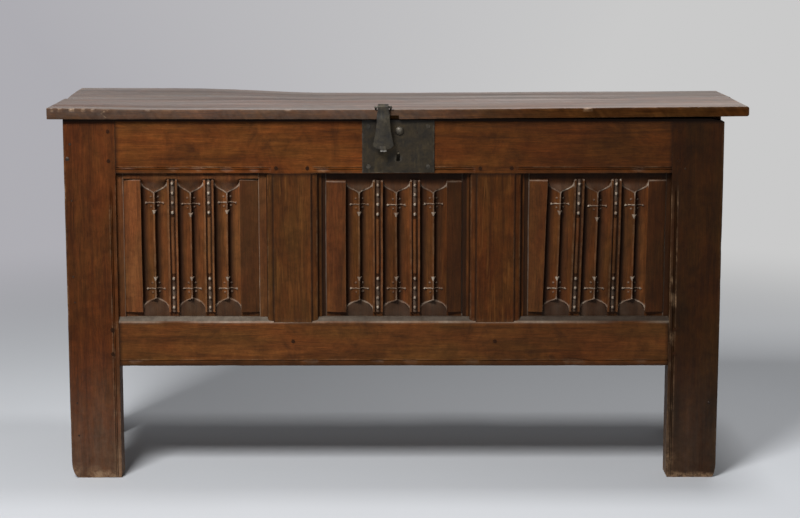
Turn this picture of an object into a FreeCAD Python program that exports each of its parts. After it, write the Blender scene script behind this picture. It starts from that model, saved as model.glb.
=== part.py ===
import FreeCAD, Part
import math
import os
from types import SimpleNamespace

import Sketcher
from FreeCAD import Placement, Rotation, Vector

# Joined oak coffer with linenfold panels, in millimetres.
# Every piece is drawn in the frame of the case: X from its middle to the right, Y from its
# front face to the back, Z up from the floor. Each Placement then moves the case, so that the
# origin of the part lies on the floor under the middle of its bounding box.

SIZES = {
    # case
    "case_width": 1264.0,
    "case_depth": 388.0,
    "case_height": 706.0,
    "leg_height": 224.0,
    "stile_width": 102.0,
    "rear_stile_width": 50.0,
    "stile_thickness": 45.0,
    "rail_thickness": 32.0,
    "top_rail_height": 105.0,
    "bottom_rail_height": 96.0,
    "sill_chamfer": 9.5,
    "end_rail_thickness": 28.0,
    "foot_outer_wear": 16.0,
    "foot_inner_wear": 5.0,
    # muntins and their mouldings
    "muntin_width": 114.0,
    "muntin_moulding_width": 20.0,
    "muntin_ovolo_width": 12.0,
    "muntin_quirk_depth": 2.0,
    "muntin_ovolo_drop": 3.5,
    "muntin_ovolo_radius": 22.0,
    "muntin_step_depth": 3.0,
    "muntin_cavetto_drop": 4.5,
    "muntin_cavetto_radius": 8.0,
    # scratch mouldings on stiles and rails
    "scratch_width": 2.4,
    "scratch_depth": 1.6,
    "scratch_first": 4.5,
    "scratch_second": 10.5,
    # joinery
    "tenon_thickness": 11.0,
    "tenon_length": 56.0,
    "rear_tenon_length": 26.0,
    "tenon_shoulder": 12.0,
    "muntin_tenon_length": 62.0,
    "muntin_tenon_shoulder": 15.0,
    "end_tenon_length": 24.0,
    "joint_clearance": 0.2,
    "groove_depth": 10.0,
    "panel_thickness": 8.0,
    "panel_recess": 16.0,
    "end_panel_recess": 10.0,
    "panel_play": 0.3,
    "panel_edge_gap": 0.8,
    "peg_radius": 4.2,
    "peg_length": 28.0,
    "peg_proud": 1.2,
    "peg_clearance": 0.1,
    "peg_inset": 16.0,
    "peg_edge_distance": 24.0,
    "muntin_peg_spacing": 60.0,
    "muntin_peg_rise": 10.0,
    "muntin_peg_drop": 47.0,
    "end_peg_length": 64.0,
    # linenfold
    "fold_top_margin": 13.0,
    "fold_bottom_margin": 9.0,
    "fold_side_margin": 8.0,
    "fold_strip_width": 35.5,
    "fold_strip_height": 8.5,
    "fold_hollow_height": 1.2,
    "fold_ridge_height": 6.5,
    "fold_ridge_width": 1.6,
    "rib_width": 21.0,
    "rib_fillet": 3.5,
    "rib_quirk": 2.0,
    "rib_quirk_height": 4.5,
    "rib_bead_rise": 2.5,
    "ogee_shoulder": 5.0,
    "right_fold_lean": 7.0,
    # floor
    "floor_rise": 16.0,
    "floor_thickness": 15.0,
    "floor_groove_depth": 10.0,
    "floor_gap": 0.5,
    # lid
    "lid_thickness": 18.5,
    "lid_overhang_left": 28.0,
    "lid_overhang_right": 44.0,
    "lid_overhang_front": 12.0,
    "lid_rear_gap": 1.0,
    "lid_front_board_depth": 216.0,
    "lid_warp_lift": 10.0,
    "lid_warp_length": 300.0,
    "lid_notch_width": 17.0,
    "lid_notch_height": 7.0,
    "lid_notch_depth": 12.0,
    "lid_notch_offset": 1.5,
    "dowel_radius": 4.0,
    "dowel_length": 60.0,
    "dowel_spacing": 340.0,
    # lid hinges
    "hinge_offset": 320.0,
    "hinge_eye_radius": 5.5,
    "hinge_pin_radius": 2.5,
    "hinge_pin_clearance": 0.2,
    "hinge_pin_head_radius": 4.2,
    "hinge_pin_head": 2.0,
    "hinge_stand_off": 0.4,
    "hinge_knuckle_width": 14.0,
    "hinge_side_gap": 0.3,
    "strap_thickness": 3.0,
    "strap_past_joint": 52.0,
    "strap_root_width": 36.0,
    "strap_neck_width": 22.0,
    "strap_tip_length": 34.0,
    "strap_tip_radius": 30.0,
    "strap_notch_gap": 0.4,
    "strap_nail_first": 52.0,
    "strap_nail_last": 22.0,
    "leaf_width": 40.0,
    "leaf_height": 64.0,
    "leaf_thickness": 2.5,
    "leaf_nail_inset": 10.0,
    "nail_radius": 1.6,
    "nail_clearance": 0.1,
    "nail_head_radius": 4.0,
    "nail_head": 1.8,
    "strap_nail_cover": 5.5,
    "leaf_nail_length": 22.0,
    # lock
    "lock_offset": 8.5,
    "lock_plate_width": 138.0,
    "lock_plate_foot": 1.5,
    "lock_plate_thickness": 2.5,
    "lock_plate_drop": 2.5,
    "lock_plate_nail_inset": 12.0,
    "plate_nail_length": 18.0,
    "lock_mortise_left": 42.5,
    "lock_mortise_right": 58.0,
    "lock_mortise_top": 20.0,
    "lock_mortise_room": 11.5,
    "lock_mortise_depth": 24.0,
    "keyhole_drop": 30.3,
    "keyhole_radius": 3.8,
    "keyhole_slot_width": 5.0,
    "keyhole_foot_width": 8.5,
    "keyhole_height": 19.0,
    "boss_drop": 16.0,
    "boss_radius": 5.5,
    "boss_height": 5.0,
    "boss_shank_radius": 2.2,
    "boss_shank_length": 14.0,
    "bolt_above_catch": 2.3,
    "bolt_height": 6.0,
    "bolt_thickness": 3.5,
    "bolt_tip_offset": 20.5,
    "bolt_length": 74.0,
    "bolt_lug_width": 18.0,
    "bolt_lug_drop": 15.0,
    "bolt_lug_notch_radius": 6.0,
    "bolt_clearance": 0.3,
    "guide_wall": 2.0,
    "guide_width": 6.0,
    "guide_first": 18.0,
    "guide_second": 36.0,
    "spring_thickness": 1.2,
    "spring_foot": 7.0,
    "spring_reach": 42.0,
    "spring_rise": 8.0,
    "spring_radius": 160.0,
    "cap_width": 43.0,
    "cap_height": 28.0,
    "cap_wall": 2.0,
    "cap_depth": 14.0,
    "cap_drop": 16.5,
    "drill_pin_radius": 1.8,
    "drill_pin_proud": 1.5,
    # hasp
    "hasp_offset": -20.0,
    "hasp_axis_forward": 4.0,
    "hasp_axis_rise": 5.0,
    "hasp_eye_radius": 6.0,
    "hasp_bar_radius": 2.5,
    "hasp_bar_clearance": 0.2,
    "hasp_thickness": 3.5,
    "hasp_length": 80.0,
    "hasp_top_width": 24.5,
    "hasp_flare_start": 18.0,
    "hasp_flare_end": 72.0,
    "hasp_flare_width": 40.0,
    "hasp_flare_radius": 230.0,
    "hasp_foot_width": 14.0,
    "hasp_foot_radius": 16.0,
    "hasp_lip_width": 12.0,
    "hasp_lip_reach": 3.5,
    "hasp_lip_drop": 4.0,
    "hasp_lip_root": 6.0,
    "catch_drop": 61.5,
    "catch_height": 18.0,
    "catch_bar": 3.0,
    "catch_width": 5.0,
    "catch_gap": 0.8,
    "catch_slot_side": 1.2,
    "catch_slot_above": 5.0,
    "catch_slot_below": 2.0,
    "staple_leg_offset": 17.0,
    "staple_leg_cover": 2.3,
    "staple_leg_radius": 2.2,
    "staple_bar_end": 3.2,
    # cuts run this far past the faces that they leave
    "overrun": 4.0,
}
FLOOR_BOARD_COUNT = 5
BAY_COUNT = 3
PANEL_COUNT = 3
DOWEL_SHARES = (-1.5, -0.5, 0.5, 1.5)
OGEE_CORNER_SHARE = 0.44
OGEE_DROP_SHARE = 0.32
STRAP_NAIL_COUNT = 4
STAPLE_TILT_DEGREES = 45.0
SAME_PLACE = 1e-6
LEFT, RIGHT = -1, 1
SIDES = {"left": LEFT, "right": RIGHT}


class Size:
    """A length with its present value and the spreadsheet formula that gives it."""

    def __init__(self, value, formula):
        self.value = value
        self.formula = formula

    def __add__(self, other):
        return Size(self.value + number(other), f"({self.formula} + {wording(other)})")

    def __radd__(self, other):
        return self + other

    def __sub__(self, other):
        return Size(self.value - number(other), f"({self.formula} - {wording(other)})")

    def __rsub__(self, other):
        return -self + other

    def __mul__(self, other):
        return Size(self.value * number(other), f"({self.formula} * {wording(other)})")

    def __rmul__(self, other):
        return self * other

    def __truediv__(self, other):
        return Size(self.value / number(other), f"({self.formula} / {wording(other)})")

    def __neg__(self):
        return Size(-self.value, f"(-1 * {self.formula})")


def number(size):
    return size.value if isinstance(size, Size) else float(size)


def wording(size):
    return size.formula if isinstance(size, Size) else repr(float(size))


def bind(thing, name, size):
    thing.setExpression(name, wording(size))


doc = FreeCAD.newDocument("Coffer")
sheet = doc.addObject("Spreadsheet::Sheet", "Sizes")
for row, (alias, amount) in enumerate(SIZES.items(), start=1):
    sheet.set(f"A{row}", alias)
    sheet.set(f"B{row}", str(amount))
    sheet.setAlias(f"B{row}", alias)
doc.recompute()
s = SimpleNamespace(**{alias: Size(float(getattr(sheet, alias)), f"Sizes.{alias}") for alias in SIZES})

# Places that several pieces share
half_width = s.case_width / 2
opening_top = s.case_height - s.top_rail_height
sill_top = s.leg_height + s.bottom_rail_height
sill_front = sill_top - s.sill_chamfer
tenon_depth = (s.rail_thickness - s.tenon_thickness) / 2
end_tenon_depth = (s.end_rail_thickness - s.tenon_thickness) / 2
top_tenon = (opening_top + s.groove_depth, s.case_height - s.tenon_shoulder)
bottom_tenon = (s.leg_height + s.tenon_shoulder, sill_top - s.groove_depth)
lid_top = s.case_height + s.lid_thickness
lid_front = -s.lid_overhang_front
lid_joint = lid_front + s.lid_front_board_depth
lid_back = s.case_depth - s.lid_rear_gap
lid_left = -half_width - s.lid_overhang_left
lid_right = half_width + s.lid_overhang_right
hinge_y = s.case_depth + s.hinge_stand_off + s.hinge_eye_radius
hinge_z = s.case_height - s.hinge_eye_radius
hasp_y = lid_front - s.hasp_axis_forward
hasp_z = lid_top + s.hasp_axis_rise
hasp_front = hasp_y - s.hasp_eye_radius
hasp_back = hasp_front + s.hasp_thickness
plate_bottom = opening_top + s.lock_plate_foot
plate_top = s.case_height - s.lock_plate_drop
catch_z = hasp_z - s.catch_drop
bolt_z = catch_z + s.bolt_above_catch
keyhole_z = bolt_z - s.keyhole_drop
boss_z = plate_top - s.boss_drop
cap_bottom = keyhole_z - s.cap_drop
floor_bottom = s.leg_height + s.floor_rise
strap_tip = lid_joint - s.strap_past_joint
strap_nail_length = s.lid_thickness - s.strap_nail_cover
staple_rise = s.hasp_axis_rise + s.lid_thickness - s.staple_leg_cover
staple_leg_length = staple_rise / math.cos(math.radians(STAPLE_TILT_DEGREES))
front_reach = -(hasp_front - s.hasp_lip_reach)
rear_reach = hinge_y + s.hinge_eye_radius
shift_x = (s.lid_overhang_left - s.lid_overhang_right) / 2
shift_y = (front_reach - rear_reach) / 2
rail_peg_heights = [
    opening_top + s.peg_edge_distance,
    s.case_height - s.peg_edge_distance,
    s.leg_height + s.peg_edge_distance,
    sill_top - s.peg_edge_distance,
]


# Drawing: bodies, sketches, pads and pockets

PLANES = {"plan": "XY_Plane", "front": "XZ_Plane", "side": "YZ_Plane"}


def new_body(label):
    body = doc.addObject("PartDesign::Body", label)
    body.Label = label
    bind(body, "Placement.Base.x", shift_x)
    bind(body, "Placement.Base.y", shift_y)
    return body


def box(x0, y0, x1, y1):
    return [(x0, y0), (x1, y0), (x1, y1), (x0, y1)]


def circle(x, y, radius):
    return SimpleNamespace(x=x, y=y, radius=radius)


def new_sketch(body, plane, offset):
    sketch = body.newObject("Sketcher::SketchObject", f"{body.Name}_sketch")
    origin = next(part for part in body.Origin.OriginFeatures if part.Role == PLANES[plane])
    sketch.AttachmentSupport = (origin, [""])
    sketch.MapMode = "FlatFace"
    bind(sketch, "AttachmentOffset.Base.z", -1 * offset if plane == "front" else offset)
    return sketch


def fix_point(sketch, edge, end, x, y):
    for axis, size in (("DistanceX", x), ("DistanceY", y)):
        index = sketch.addConstraint(Sketcher.Constraint(axis, -1, 1, edge, end, number(size)))
        bind(sketch, f"Constraints[{index}]", size)


def fix_radius(sketch, edge, radius):
    index = sketch.addConstraint(Sketcher.Constraint("Radius", edge, number(radius)))
    bind(sketch, f"Constraints[{index}]", radius)


def arc_between(start, end, radius, turn):
    """The short arc from start to end that turns left (1) or right (-1)."""
    chord = end - start
    rise = max(radius ** 2 - chord.Length ** 2 / 4, 0.0) ** 0.5
    normal = Vector(-chord.y, chord.x, 0).normalize()
    centre = (start + end) / 2 + normal * rise * turn
    first, last = (start, end) if turn > 0 else (end, start)
    ring = Part.Circle(centre, Vector(0, 0, 1), radius)
    return Part.ArcOfCircle(ring, ring.parameter(first), ring.parameter(last))


def draw_outline(sketch, points):
    """A closed outline; a point (x, y, radius, turn) starts an arc to the next point."""
    first = sketch.GeometryCount
    spots = [Vector(number(point[0]), number(point[1]), 0) for point in points]
    ends = []
    for index, point in enumerate(points):
        following = spots[(index + 1) % len(points)]
        edge = first + index
        if len(point) == 2:
            sketch.addGeometry(Part.LineSegment(spots[index], following), False)
            ends.append((1, 2))
        else:
            sketch.addGeometry(arc_between(spots[index], following, number(point[2]), point[3]), False)
            ends.append((1, 2) if point[3] > 0 else (2, 1))
        fix_point(sketch, edge, ends[index][0], point[0], point[1])
    for index, point in enumerate(points):
        after = (index + 1) % len(points)
        joint = Sketcher.Constraint("Coincident", first + index, ends[index][1], first + after, ends[after][0])
        sketch.addConstraint(joint)
        if len(point) == 4:
            fix_radius(sketch, first + index, point[2])


def draw_circle(sketch, ring):
    edge = sketch.addGeometry(Part.Circle(Vector(number(ring.x), number(ring.y), 0), Vector(0, 0, 1),
                                          number(ring.radius)), False)
    fix_point(sketch, edge, 3, ring.x, ring.y)
    fix_radius(sketch, edge, ring.radius)


def fill_sketch(sketch, shapes):
    for shape in shapes:
        if isinstance(shape, list):
            draw_outline(sketch, shape)
        else:
            draw_circle(sketch, shape)


def volume(body):
    doc.recompute()
    return body.Shape.Volume if not body.Shape.isNull() else 0.0


def add(body, plane, span, *shapes):
    """Pad shapes drawn on a plane from span[0] to span[1] along the plane's own axis."""
    sketch = new_sketch(body, plane, span[0])
    fill_sketch(sketch, shapes)
    pad = body.newObject("PartDesign::Pad", f"{body.Name}_pad")
    pad.Profile = sketch
    pad.Reversed = plane == "front"
    bind(pad, "Length", span[1] - span[0])
    return pad


def cut(body, plane, span, *shapes):
    """Pocket shapes drawn on a plane from span[0] to span[1] along the plane's own axis."""
    sketch = new_sketch(body, plane, span[0])
    fill_sketch(sketch, shapes)
    return pocket(body, sketch, span[1] - span[0], plane != "front")


def pocket(body, sketch, length, turned):
    before = volume(body)
    hollow = body.newObject("PartDesign::Pocket", f"{body.Name}_pocket")
    hollow.Profile = sketch
    hollow.Reversed = turned
    bind(hollow, "Length", length)
    if volume(body) >= before:
        raise RuntimeError(f"a cut in {body.Label} removes nothing")
    return hollow


def front_layer(start, end):
    """A slice of depth measured back from the front face."""
    return (start, end)


def rear_layer(start, end):
    """A slice of depth measured forward from the rear face."""
    return (s.case_depth - end, s.case_depth - start)


def end_layer(side, start, end):
    """A slice of width measured in from the case's left or right face."""
    return (-half_width + start, -half_width + end) if side == LEFT else (half_width - end, half_width - start)


def groove_layer(layer, recess):
    return layer(recess - s.panel_play, recess + s.panel_thickness + s.panel_play)


def wide(span, room):
    return (span[0] - room, span[1] + room)


def frame_of(layer, stile_width, tenon_length):
    """Places that the timbers of the front or the rear frame share."""
    stile_inner = half_width - stile_width
    opening_width = (2 * stile_inner - (PANEL_COUNT - 1) * s.muntin_width) / PANEL_COUNT
    return SimpleNamespace(layer=layer, stile_inner=stile_inner, tenon_length=tenon_length,
                           opening_width=opening_width, muntin_centre=(opening_width + s.muntin_width) / 2)


front_frame = frame_of(front_layer, s.stile_width, s.tenon_length)
rear_frame = frame_of(rear_layer, s.rear_stile_width, s.rear_tenon_length)


def scratch(x, face, depth_sign):
    """V groove across a face at the given depth coordinate, in a sketch whose second axis is depth."""
    half = s.scratch_width / 2
    outside = face - depth_sign * s.overrun
    return [(x - half, outside), (x + half, outside), (x + half, face),
            (x, face + depth_sign * s.scratch_depth), (x - half, face)]


# Places of the pegs, shared by the pegs and the holes for them

def stile_pegs(side, frame):
    return [(side * (frame.stile_inner + s.peg_inset), height) for height in rail_peg_heights]


def muntin_pegs(side, frame):
    middle = side * frame.muntin_centre
    half = s.muntin_peg_spacing / 2
    upper = opening_top + s.muntin_peg_rise
    return [(middle - half, upper), (middle + half, upper), (middle, sill_top - s.muntin_peg_drop)]


def frame_pegs(frame):
    return [place for side in SIDES.values() for place in stile_pegs(side, frame) + muntin_pegs(side, frame)]


def end_pegs(side):
    return [(side * (half_width - s.end_rail_thickness / 2), height) for height in rail_peg_heights]


def peg_holes(places):
    return [circle(x, z, s.peg_radius + s.peg_clearance) for x, z in places]


# Frame timbers

def stile(label, side, frame, moulded):
    body = new_body(label)
    layer = frame.layer
    inner = side * frame.stile_inner
    outer = side * half_width
    depth = layer(0, s.stile_thickness)
    add(body, "plan", (0, s.case_height), box(inner, depth[0], outer, depth[1]))
    doc.recompute()
    for edge_x, wear in ((outer, s.foot_outer_wear), (inner, s.foot_inner_wear)):
        round_foot(body, edge_x, wear)
    into = inner + side * (frame.tenon_length + s.joint_clearance)
    outside = inner - side * s.overrun
    tenons = (wide(top_tenon, s.joint_clearance), wide(bottom_tenon, s.joint_clearance))
    mortises = [box(outside, low, into, high) for low, high in tenons]
    cut(body, "front", wide(layer(tenon_depth, tenon_depth + s.tenon_thickness), s.joint_clearance), *mortises)
    low, high = sill_top - s.groove_depth, opening_top + s.groove_depth
    cut(body, "front", groove_layer(layer, s.panel_recess),
        box(outside, low, inner + side * s.groove_depth, high))
    end_mortise = layer(s.stile_thickness - s.end_tenon_length - s.joint_clearance,
                        s.stile_thickness + s.overrun)
    mortises = [box(end_mortise[0], bottom, end_mortise[1], top) for bottom, top in tenons]
    cut(body, "side", wide(end_layer(side, end_tenon_depth, end_tenon_depth + s.tenon_thickness),
                           s.joint_clearance), *mortises)
    groove = layer(s.stile_thickness - s.groove_depth, s.stile_thickness + s.overrun)
    cut(body, "side", groove_layer(lambda start, end: end_layer(side, start, end), s.end_panel_recess),
        box(groove[0], low, groove[1], high))
    cut(body, "front", layer(-s.overrun, s.peg_length + s.peg_clearance), *peg_holes(stile_pegs(side, frame)))
    cut(body, "front", layer(-s.overrun, s.stile_thickness + s.overrun), *peg_holes(end_pegs(side)))
    if moulded:
        lines = [scratch(inner + side * inset, 0, 1) for inset in (s.scratch_first, s.scratch_second)]
        cut(body, "plan", (0, opening_top), *lines)
    return body


def round_foot(body, edge_x, wear):
    """Round the bottom edge of a post at edge_x, as long use has worn it."""
    tip = body.Tip
    foot = number(edge_x)
    names = [f"Edge{index}" for index, edge in enumerate(tip.Shape.Edges, start=1)
             if all(max(abs(corner.X - foot), abs(corner.Z)) < SAME_PLACE for corner in edge.Vertexes)]
    fillet = body.newObject("PartDesign::Fillet", f"{body.Name}_wear")
    fillet.Base = (tip, names)
    bind(fillet, "Radius", wear)
    doc.recompute()


def rail_blank(label, frame, bottom, top, tenon):
    """A rail between the stiles, with its tenons."""
    body = new_body(label)
    depth = frame.layer(0, s.rail_thickness)
    add(body, "front", depth, box(-frame.stile_inner, bottom, frame.stile_inner, top))
    reach = frame.stile_inner + frame.tenon_length
    add(body, "front", frame.layer(tenon_depth, tenon_depth + s.tenon_thickness),
        box(-reach, tenon[0], reach, tenon[1]))
    return body


def muntin_mortises(body, frame, low, high):
    half = s.muntin_width / 2 - s.muntin_tenon_shoulder + s.joint_clearance
    middles = [side * frame.muntin_centre for side in SIDES.values()]
    boxes = [box(middle - half, low, middle + half, high) for middle in middles]
    depth = frame.layer(tenon_depth, tenon_depth + s.tenon_thickness)
    cut(body, "front", wide(depth, s.joint_clearance), *boxes)


def rail_peg_holes(body, frame, low, high):
    places = [(x, z) for x, z in frame_pegs(frame) if number(low) < number(z) < number(high)]
    cut(body, "front", frame.layer(-s.overrun, s.peg_length + s.peg_clearance), *peg_holes(places))


def top_rail(label, frame):
    body = rail_blank(label, frame, opening_top, s.case_height, top_tenon)
    groove = groove_layer(frame.layer, s.panel_recess)
    edge = box(groove[0], opening_top - s.overrun, groove[1], opening_top + s.groove_depth)
    cut(body, "side", (-frame.stile_inner, frame.stile_inner), edge)
    muntin_mortises(body, frame, opening_top - s.overrun,
                    opening_top + s.muntin_tenon_length + s.joint_clearance)
    rail_peg_holes(body, frame, opening_top, s.case_height)
    return body


def bottom_rail(label, frame):
    body = rail_blank(label, frame, s.leg_height, sill_top, bottom_tenon)
    groove = groove_layer(frame.layer, s.panel_recess)
    edge = box(groove[0], sill_top - s.groove_depth, groove[1], sill_top + s.overrun)
    cut(body, "side", (-frame.stile_inner, frame.stile_inner), edge)
    muntin_mortises(body, frame, sill_top - s.muntin_tenon_length - s.joint_clearance, sill_top + s.overrun)
    floor = frame.layer(s.rail_thickness - s.floor_groove_depth, s.rail_thickness + s.overrun)
    cut(body, "side", (-frame.stile_inner, frame.stile_inner),
        box(floor[0], floor_bottom, floor[1], floor_bottom + s.floor_thickness + s.joint_clearance))
    rail_peg_holes(body, frame, s.leg_height, sill_top)
    return body


def turned(outline):
    """Swap the two axes of an outline drawn for a plan sketch, for use in a side sketch."""
    return [(point[1], point[0]) for point in outline]


def front_top_rail():
    body = top_rail("front_top_rail", front_frame)
    inner, middle = front_frame.stile_inner, front_frame.muntin_centre
    lines = [turned(scratch(opening_top + rise, 0, 1)) for rise in (s.scratch_first, s.scratch_second)]
    flat = s.muntin_width / 2 - s.muntin_moulding_width
    stops = [(-inner, -middle - flat), (flat - middle, middle - flat), (middle + flat, inner)]
    for span in stops:
        cut(body, "side", span, *lines)
    mortise = box(s.lock_offset - s.lock_mortise_left, cap_bottom - s.lock_mortise_room,
                  s.lock_offset + s.lock_mortise_right, s.case_height - s.lock_mortise_top)
    cut(body, "front", front_layer(-s.overrun, s.lock_mortise_depth), mortise)
    holes = [circle(x, z, s.nail_radius + s.nail_clearance) for x, z in plate_nail_places()]
    cut(body, "front", front_layer(-s.overrun, s.plate_nail_length + s.nail_clearance), *holes)
    boss = circle(s.lock_offset, boss_z, s.boss_shank_radius + s.nail_clearance)
    cut(body, "front", front_layer(-s.overrun, s.boss_shank_length + s.nail_clearance), boss)
    return body


def front_bottom_rail():
    body = bottom_rail("front_bottom_rail", front_frame)
    length = (-front_frame.stile_inner, front_frame.stile_inner)
    cut(body, "side", length,
        [(-s.overrun, sill_front - s.overrun), (s.sill_chamfer + s.overrun, sill_top + s.overrun),
         (-s.overrun, sill_top + s.overrun)])
    cut(body, "side", length, turned(scratch(s.leg_height + s.scratch_second, 0, 1)))
    return body


def rear_top_rail():
    body = top_rail("rear_top_rail", rear_frame)
    half = s.strap_root_width / 2 + s.strap_notch_gap
    floor = s.case_height - s.strap_thickness - s.strap_notch_gap
    middles = [side * s.hinge_offset for side in SIDES.values()]
    notches = [box(middle - half, floor, middle + half, s.case_height + s.overrun) for middle in middles]
    cut(body, "front", rear_layer(-s.overrun, s.rail_thickness + s.overrun), *notches)
    holes = [circle(x, z, s.nail_radius + s.nail_clearance) for x, z in leaf_nail_places()]
    cut(body, "front", rear_layer(-s.overrun, s.leaf_nail_length + s.nail_clearance), *holes)
    return body


def muntin_profile(middle):
    """Plan of a front muntin: a flat face between a quirk, an ovolo and a cavetto on each edge."""
    edge = s.muntin_width / 2
    flat = edge - s.muntin_moulding_width
    step = flat + s.muntin_ovolo_width
    ovolo = s.muntin_quirk_depth + s.muntin_ovolo_drop
    cavetto = ovolo + s.muntin_step_depth
    lip = cavetto + s.muntin_cavetto_drop
    return [
        (middle - edge, s.rail_thickness),
        (middle - edge, lip, s.muntin_cavetto_radius, 1),
        (middle - step, cavetto),
        (middle - step, ovolo, s.muntin_ovolo_radius, -1),
        (middle - flat, s.muntin_quirk_depth),
        (middle - flat, 0),
        (middle + flat, 0),
        (middle + flat, s.muntin_quirk_depth, s.muntin_ovolo_radius, -1),
        (middle + step, ovolo),
        (middle + step, cavetto, s.muntin_cavetto_radius, 1),
        (middle + edge, lip),
        (middle + edge, s.rail_thickness),
    ]


def muntin(label, side, frame, moulded):
    body = new_body(label)
    layer = frame.layer
    middle = side * frame.muntin_centre
    edge = s.muntin_width / 2
    depth = layer(0, s.rail_thickness)
    if moulded:
        add(body, "plan", (sill_front, opening_top), muntin_profile(middle))
        scribe = [(-s.overrun, sill_front - s.overrun), (s.sill_chamfer, sill_top),
                  (depth[1] + s.overrun, sill_top), (depth[1] + s.overrun, sill_front - s.overrun)]
        cut(body, "side", (middle - edge - s.overrun, middle + edge + s.overrun), scribe)
    else:
        add(body, "plan", (sill_top, opening_top), box(middle - edge, depth[0], middle + edge, depth[1]))
    groove = groove_layer(layer, s.panel_recess)
    cut(body, "plan", (sill_front - s.overrun, opening_top + s.overrun),
        *[box(middle + way * (edge - s.groove_depth), groove[0], middle + way * (edge + s.overrun), groove[1])
          for way in SIDES.values()])
    half = edge - s.muntin_tenon_shoulder
    tenon = layer(tenon_depth, tenon_depth + s.tenon_thickness)
    add(body, "plan", (sill_top - s.muntin_tenon_length, opening_top + s.muntin_tenon_length),
        box(middle - half, tenon[0], middle + half, tenon[1]))
    cut(body, "front", layer(-s.overrun, s.peg_length + s.peg_clearance), *peg_holes(muntin_pegs(side, frame)))
    return body


def end_rail(label, side, bottom, top, tenon, groove_edges):
    body = new_body(label)
    front, back = s.stile_thickness, s.case_depth - s.stile_thickness
    add(body, "side", end_layer(side, 0, s.end_rail_thickness), box(front, bottom, back, top))
    add(body, "side", end_layer(side, end_tenon_depth, end_tenon_depth + s.tenon_thickness),
        box(front - s.end_tenon_length, tenon[0], back + s.end_tenon_length, tenon[1]))
    groove = groove_layer(lambda start, end: end_layer(side, start, end), s.end_panel_recess)
    cut(body, "front", (front, back), box(groove[0], groove_edges[0], groove[1], groove_edges[1]))
    holes = peg_holes([(x, z) for x, z in end_pegs(side) if number(bottom) < number(z) < number(top)])
    cut(body, "front", front_layer(0, s.end_peg_length + s.peg_clearance), *holes)
    cut(body, "front", rear_layer(0, s.end_peg_length + s.peg_clearance), *holes)
    return body


def end_frame(name, side):
    end_rail(f"{name}_end_top_rail", side, opening_top, s.case_height, top_tenon,
             (opening_top - s.overrun, opening_top + s.groove_depth))
    end_rail(f"{name}_end_bottom_rail", side, s.leg_height, sill_top, bottom_tenon,
             (sill_top - s.groove_depth, sill_top + s.overrun))
    body = new_body(f"{name}_end_panel")
    reach = s.groove_depth - s.panel_edge_gap
    front = s.stile_thickness - reach
    back = s.case_depth - s.stile_thickness + reach
    add(body, "side", end_layer(side, s.end_panel_recess, s.end_panel_recess + s.panel_thickness),
        box(front, sill_top - reach, back, opening_top + reach))


# Panels between the stiles and muntins

def openings(frame):
    half = frame.opening_width / 2
    return {
        "left": (-frame.stile_inner, -half - s.muntin_width),
        "centre": (-half, half),
        "right": (half + s.muntin_width, frame.stile_inner),
    }


def panel_board(label, layer, opening):
    body = new_body(label)
    reach = s.groove_depth - s.panel_edge_gap
    add(body, "front", layer(s.panel_recess, s.panel_recess + s.panel_thickness),
        box(opening[0] - reach, sill_top - reach, opening[1] + reach, opening_top + reach))
    return body


def fold_bays(opening):
    """Left and right edge of each of the bays between the strips and the ribs."""
    first = opening[0] + s.fold_side_margin + s.fold_strip_width
    last = opening[1] - s.fold_side_margin - s.fold_strip_width
    bay = (last - first - (BAY_COUNT - 1) * s.rib_width) / BAY_COUNT
    starts = [first + index * (bay + s.rib_width) for index in range(BAY_COUNT)]
    return [(start, start + bay) for start in starts]


def fold_depth(height):
    return s.panel_recess - height


def bay_profile(left, right):
    """Two hollows that rise to a thin ridge in the middle of a bay."""
    middle = (left + right) / 2
    half = s.fold_ridge_width / 2
    run = middle - half - left
    rise = s.fold_ridge_height - s.fold_hollow_height
    radius = (run * run + rise * rise) / (2 * rise)
    hollow, ridge = fold_depth(s.fold_hollow_height), fold_depth(s.fold_ridge_height)
    return [(left, hollow, radius, -1), (middle - half, ridge),
            (middle + half, ridge, radius, -1), (right, hollow)]


def rib_profile(left):
    """A bead between two quirks and two fillets."""
    right = left + s.rib_width
    half_bead = s.rib_width / 2 - s.rib_fillet - s.rib_quirk
    radius = (half_bead * half_bead + s.rib_bead_rise * s.rib_bead_rise) / (2 * s.rib_bead_rise)
    top, quirk = fold_depth(s.fold_strip_height), fold_depth(s.rib_quirk_height)
    middle = (left + right) / 2
    bead_top = quirk - s.rib_bead_rise
    return [
        (left, top),
        (left + s.rib_fillet, top),
        (left + s.rib_fillet, quirk),
        (middle - half_bead, quirk, radius, 1),
        (middle, bead_top, radius, 1),
        (middle + half_bead, quirk),
        (right - s.rib_fillet, quirk),
        (right - s.rib_fillet, top),
        (right, top),
    ]


def fold_profile(opening):
    """Plan of the whole carved field, from the left strip to the right strip."""
    top = fold_depth(s.fold_strip_height)
    ground = fold_depth(0) + s.panel_thickness / 2
    bays = fold_bays(opening)
    left = opening[0] + s.fold_side_margin
    right = opening[1] - s.fold_side_margin
    points = [(left, ground), (left, top), (bays[0][0], top)]
    for index, (bay_left, bay_right) in enumerate(bays):
        points += bay_profile(bay_left, bay_right)
        if index < len(bays) - 1:
            points += rib_profile(bay_right)
    return points + [(bays[-1][1], top), (right, top), (right, ground)]


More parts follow.
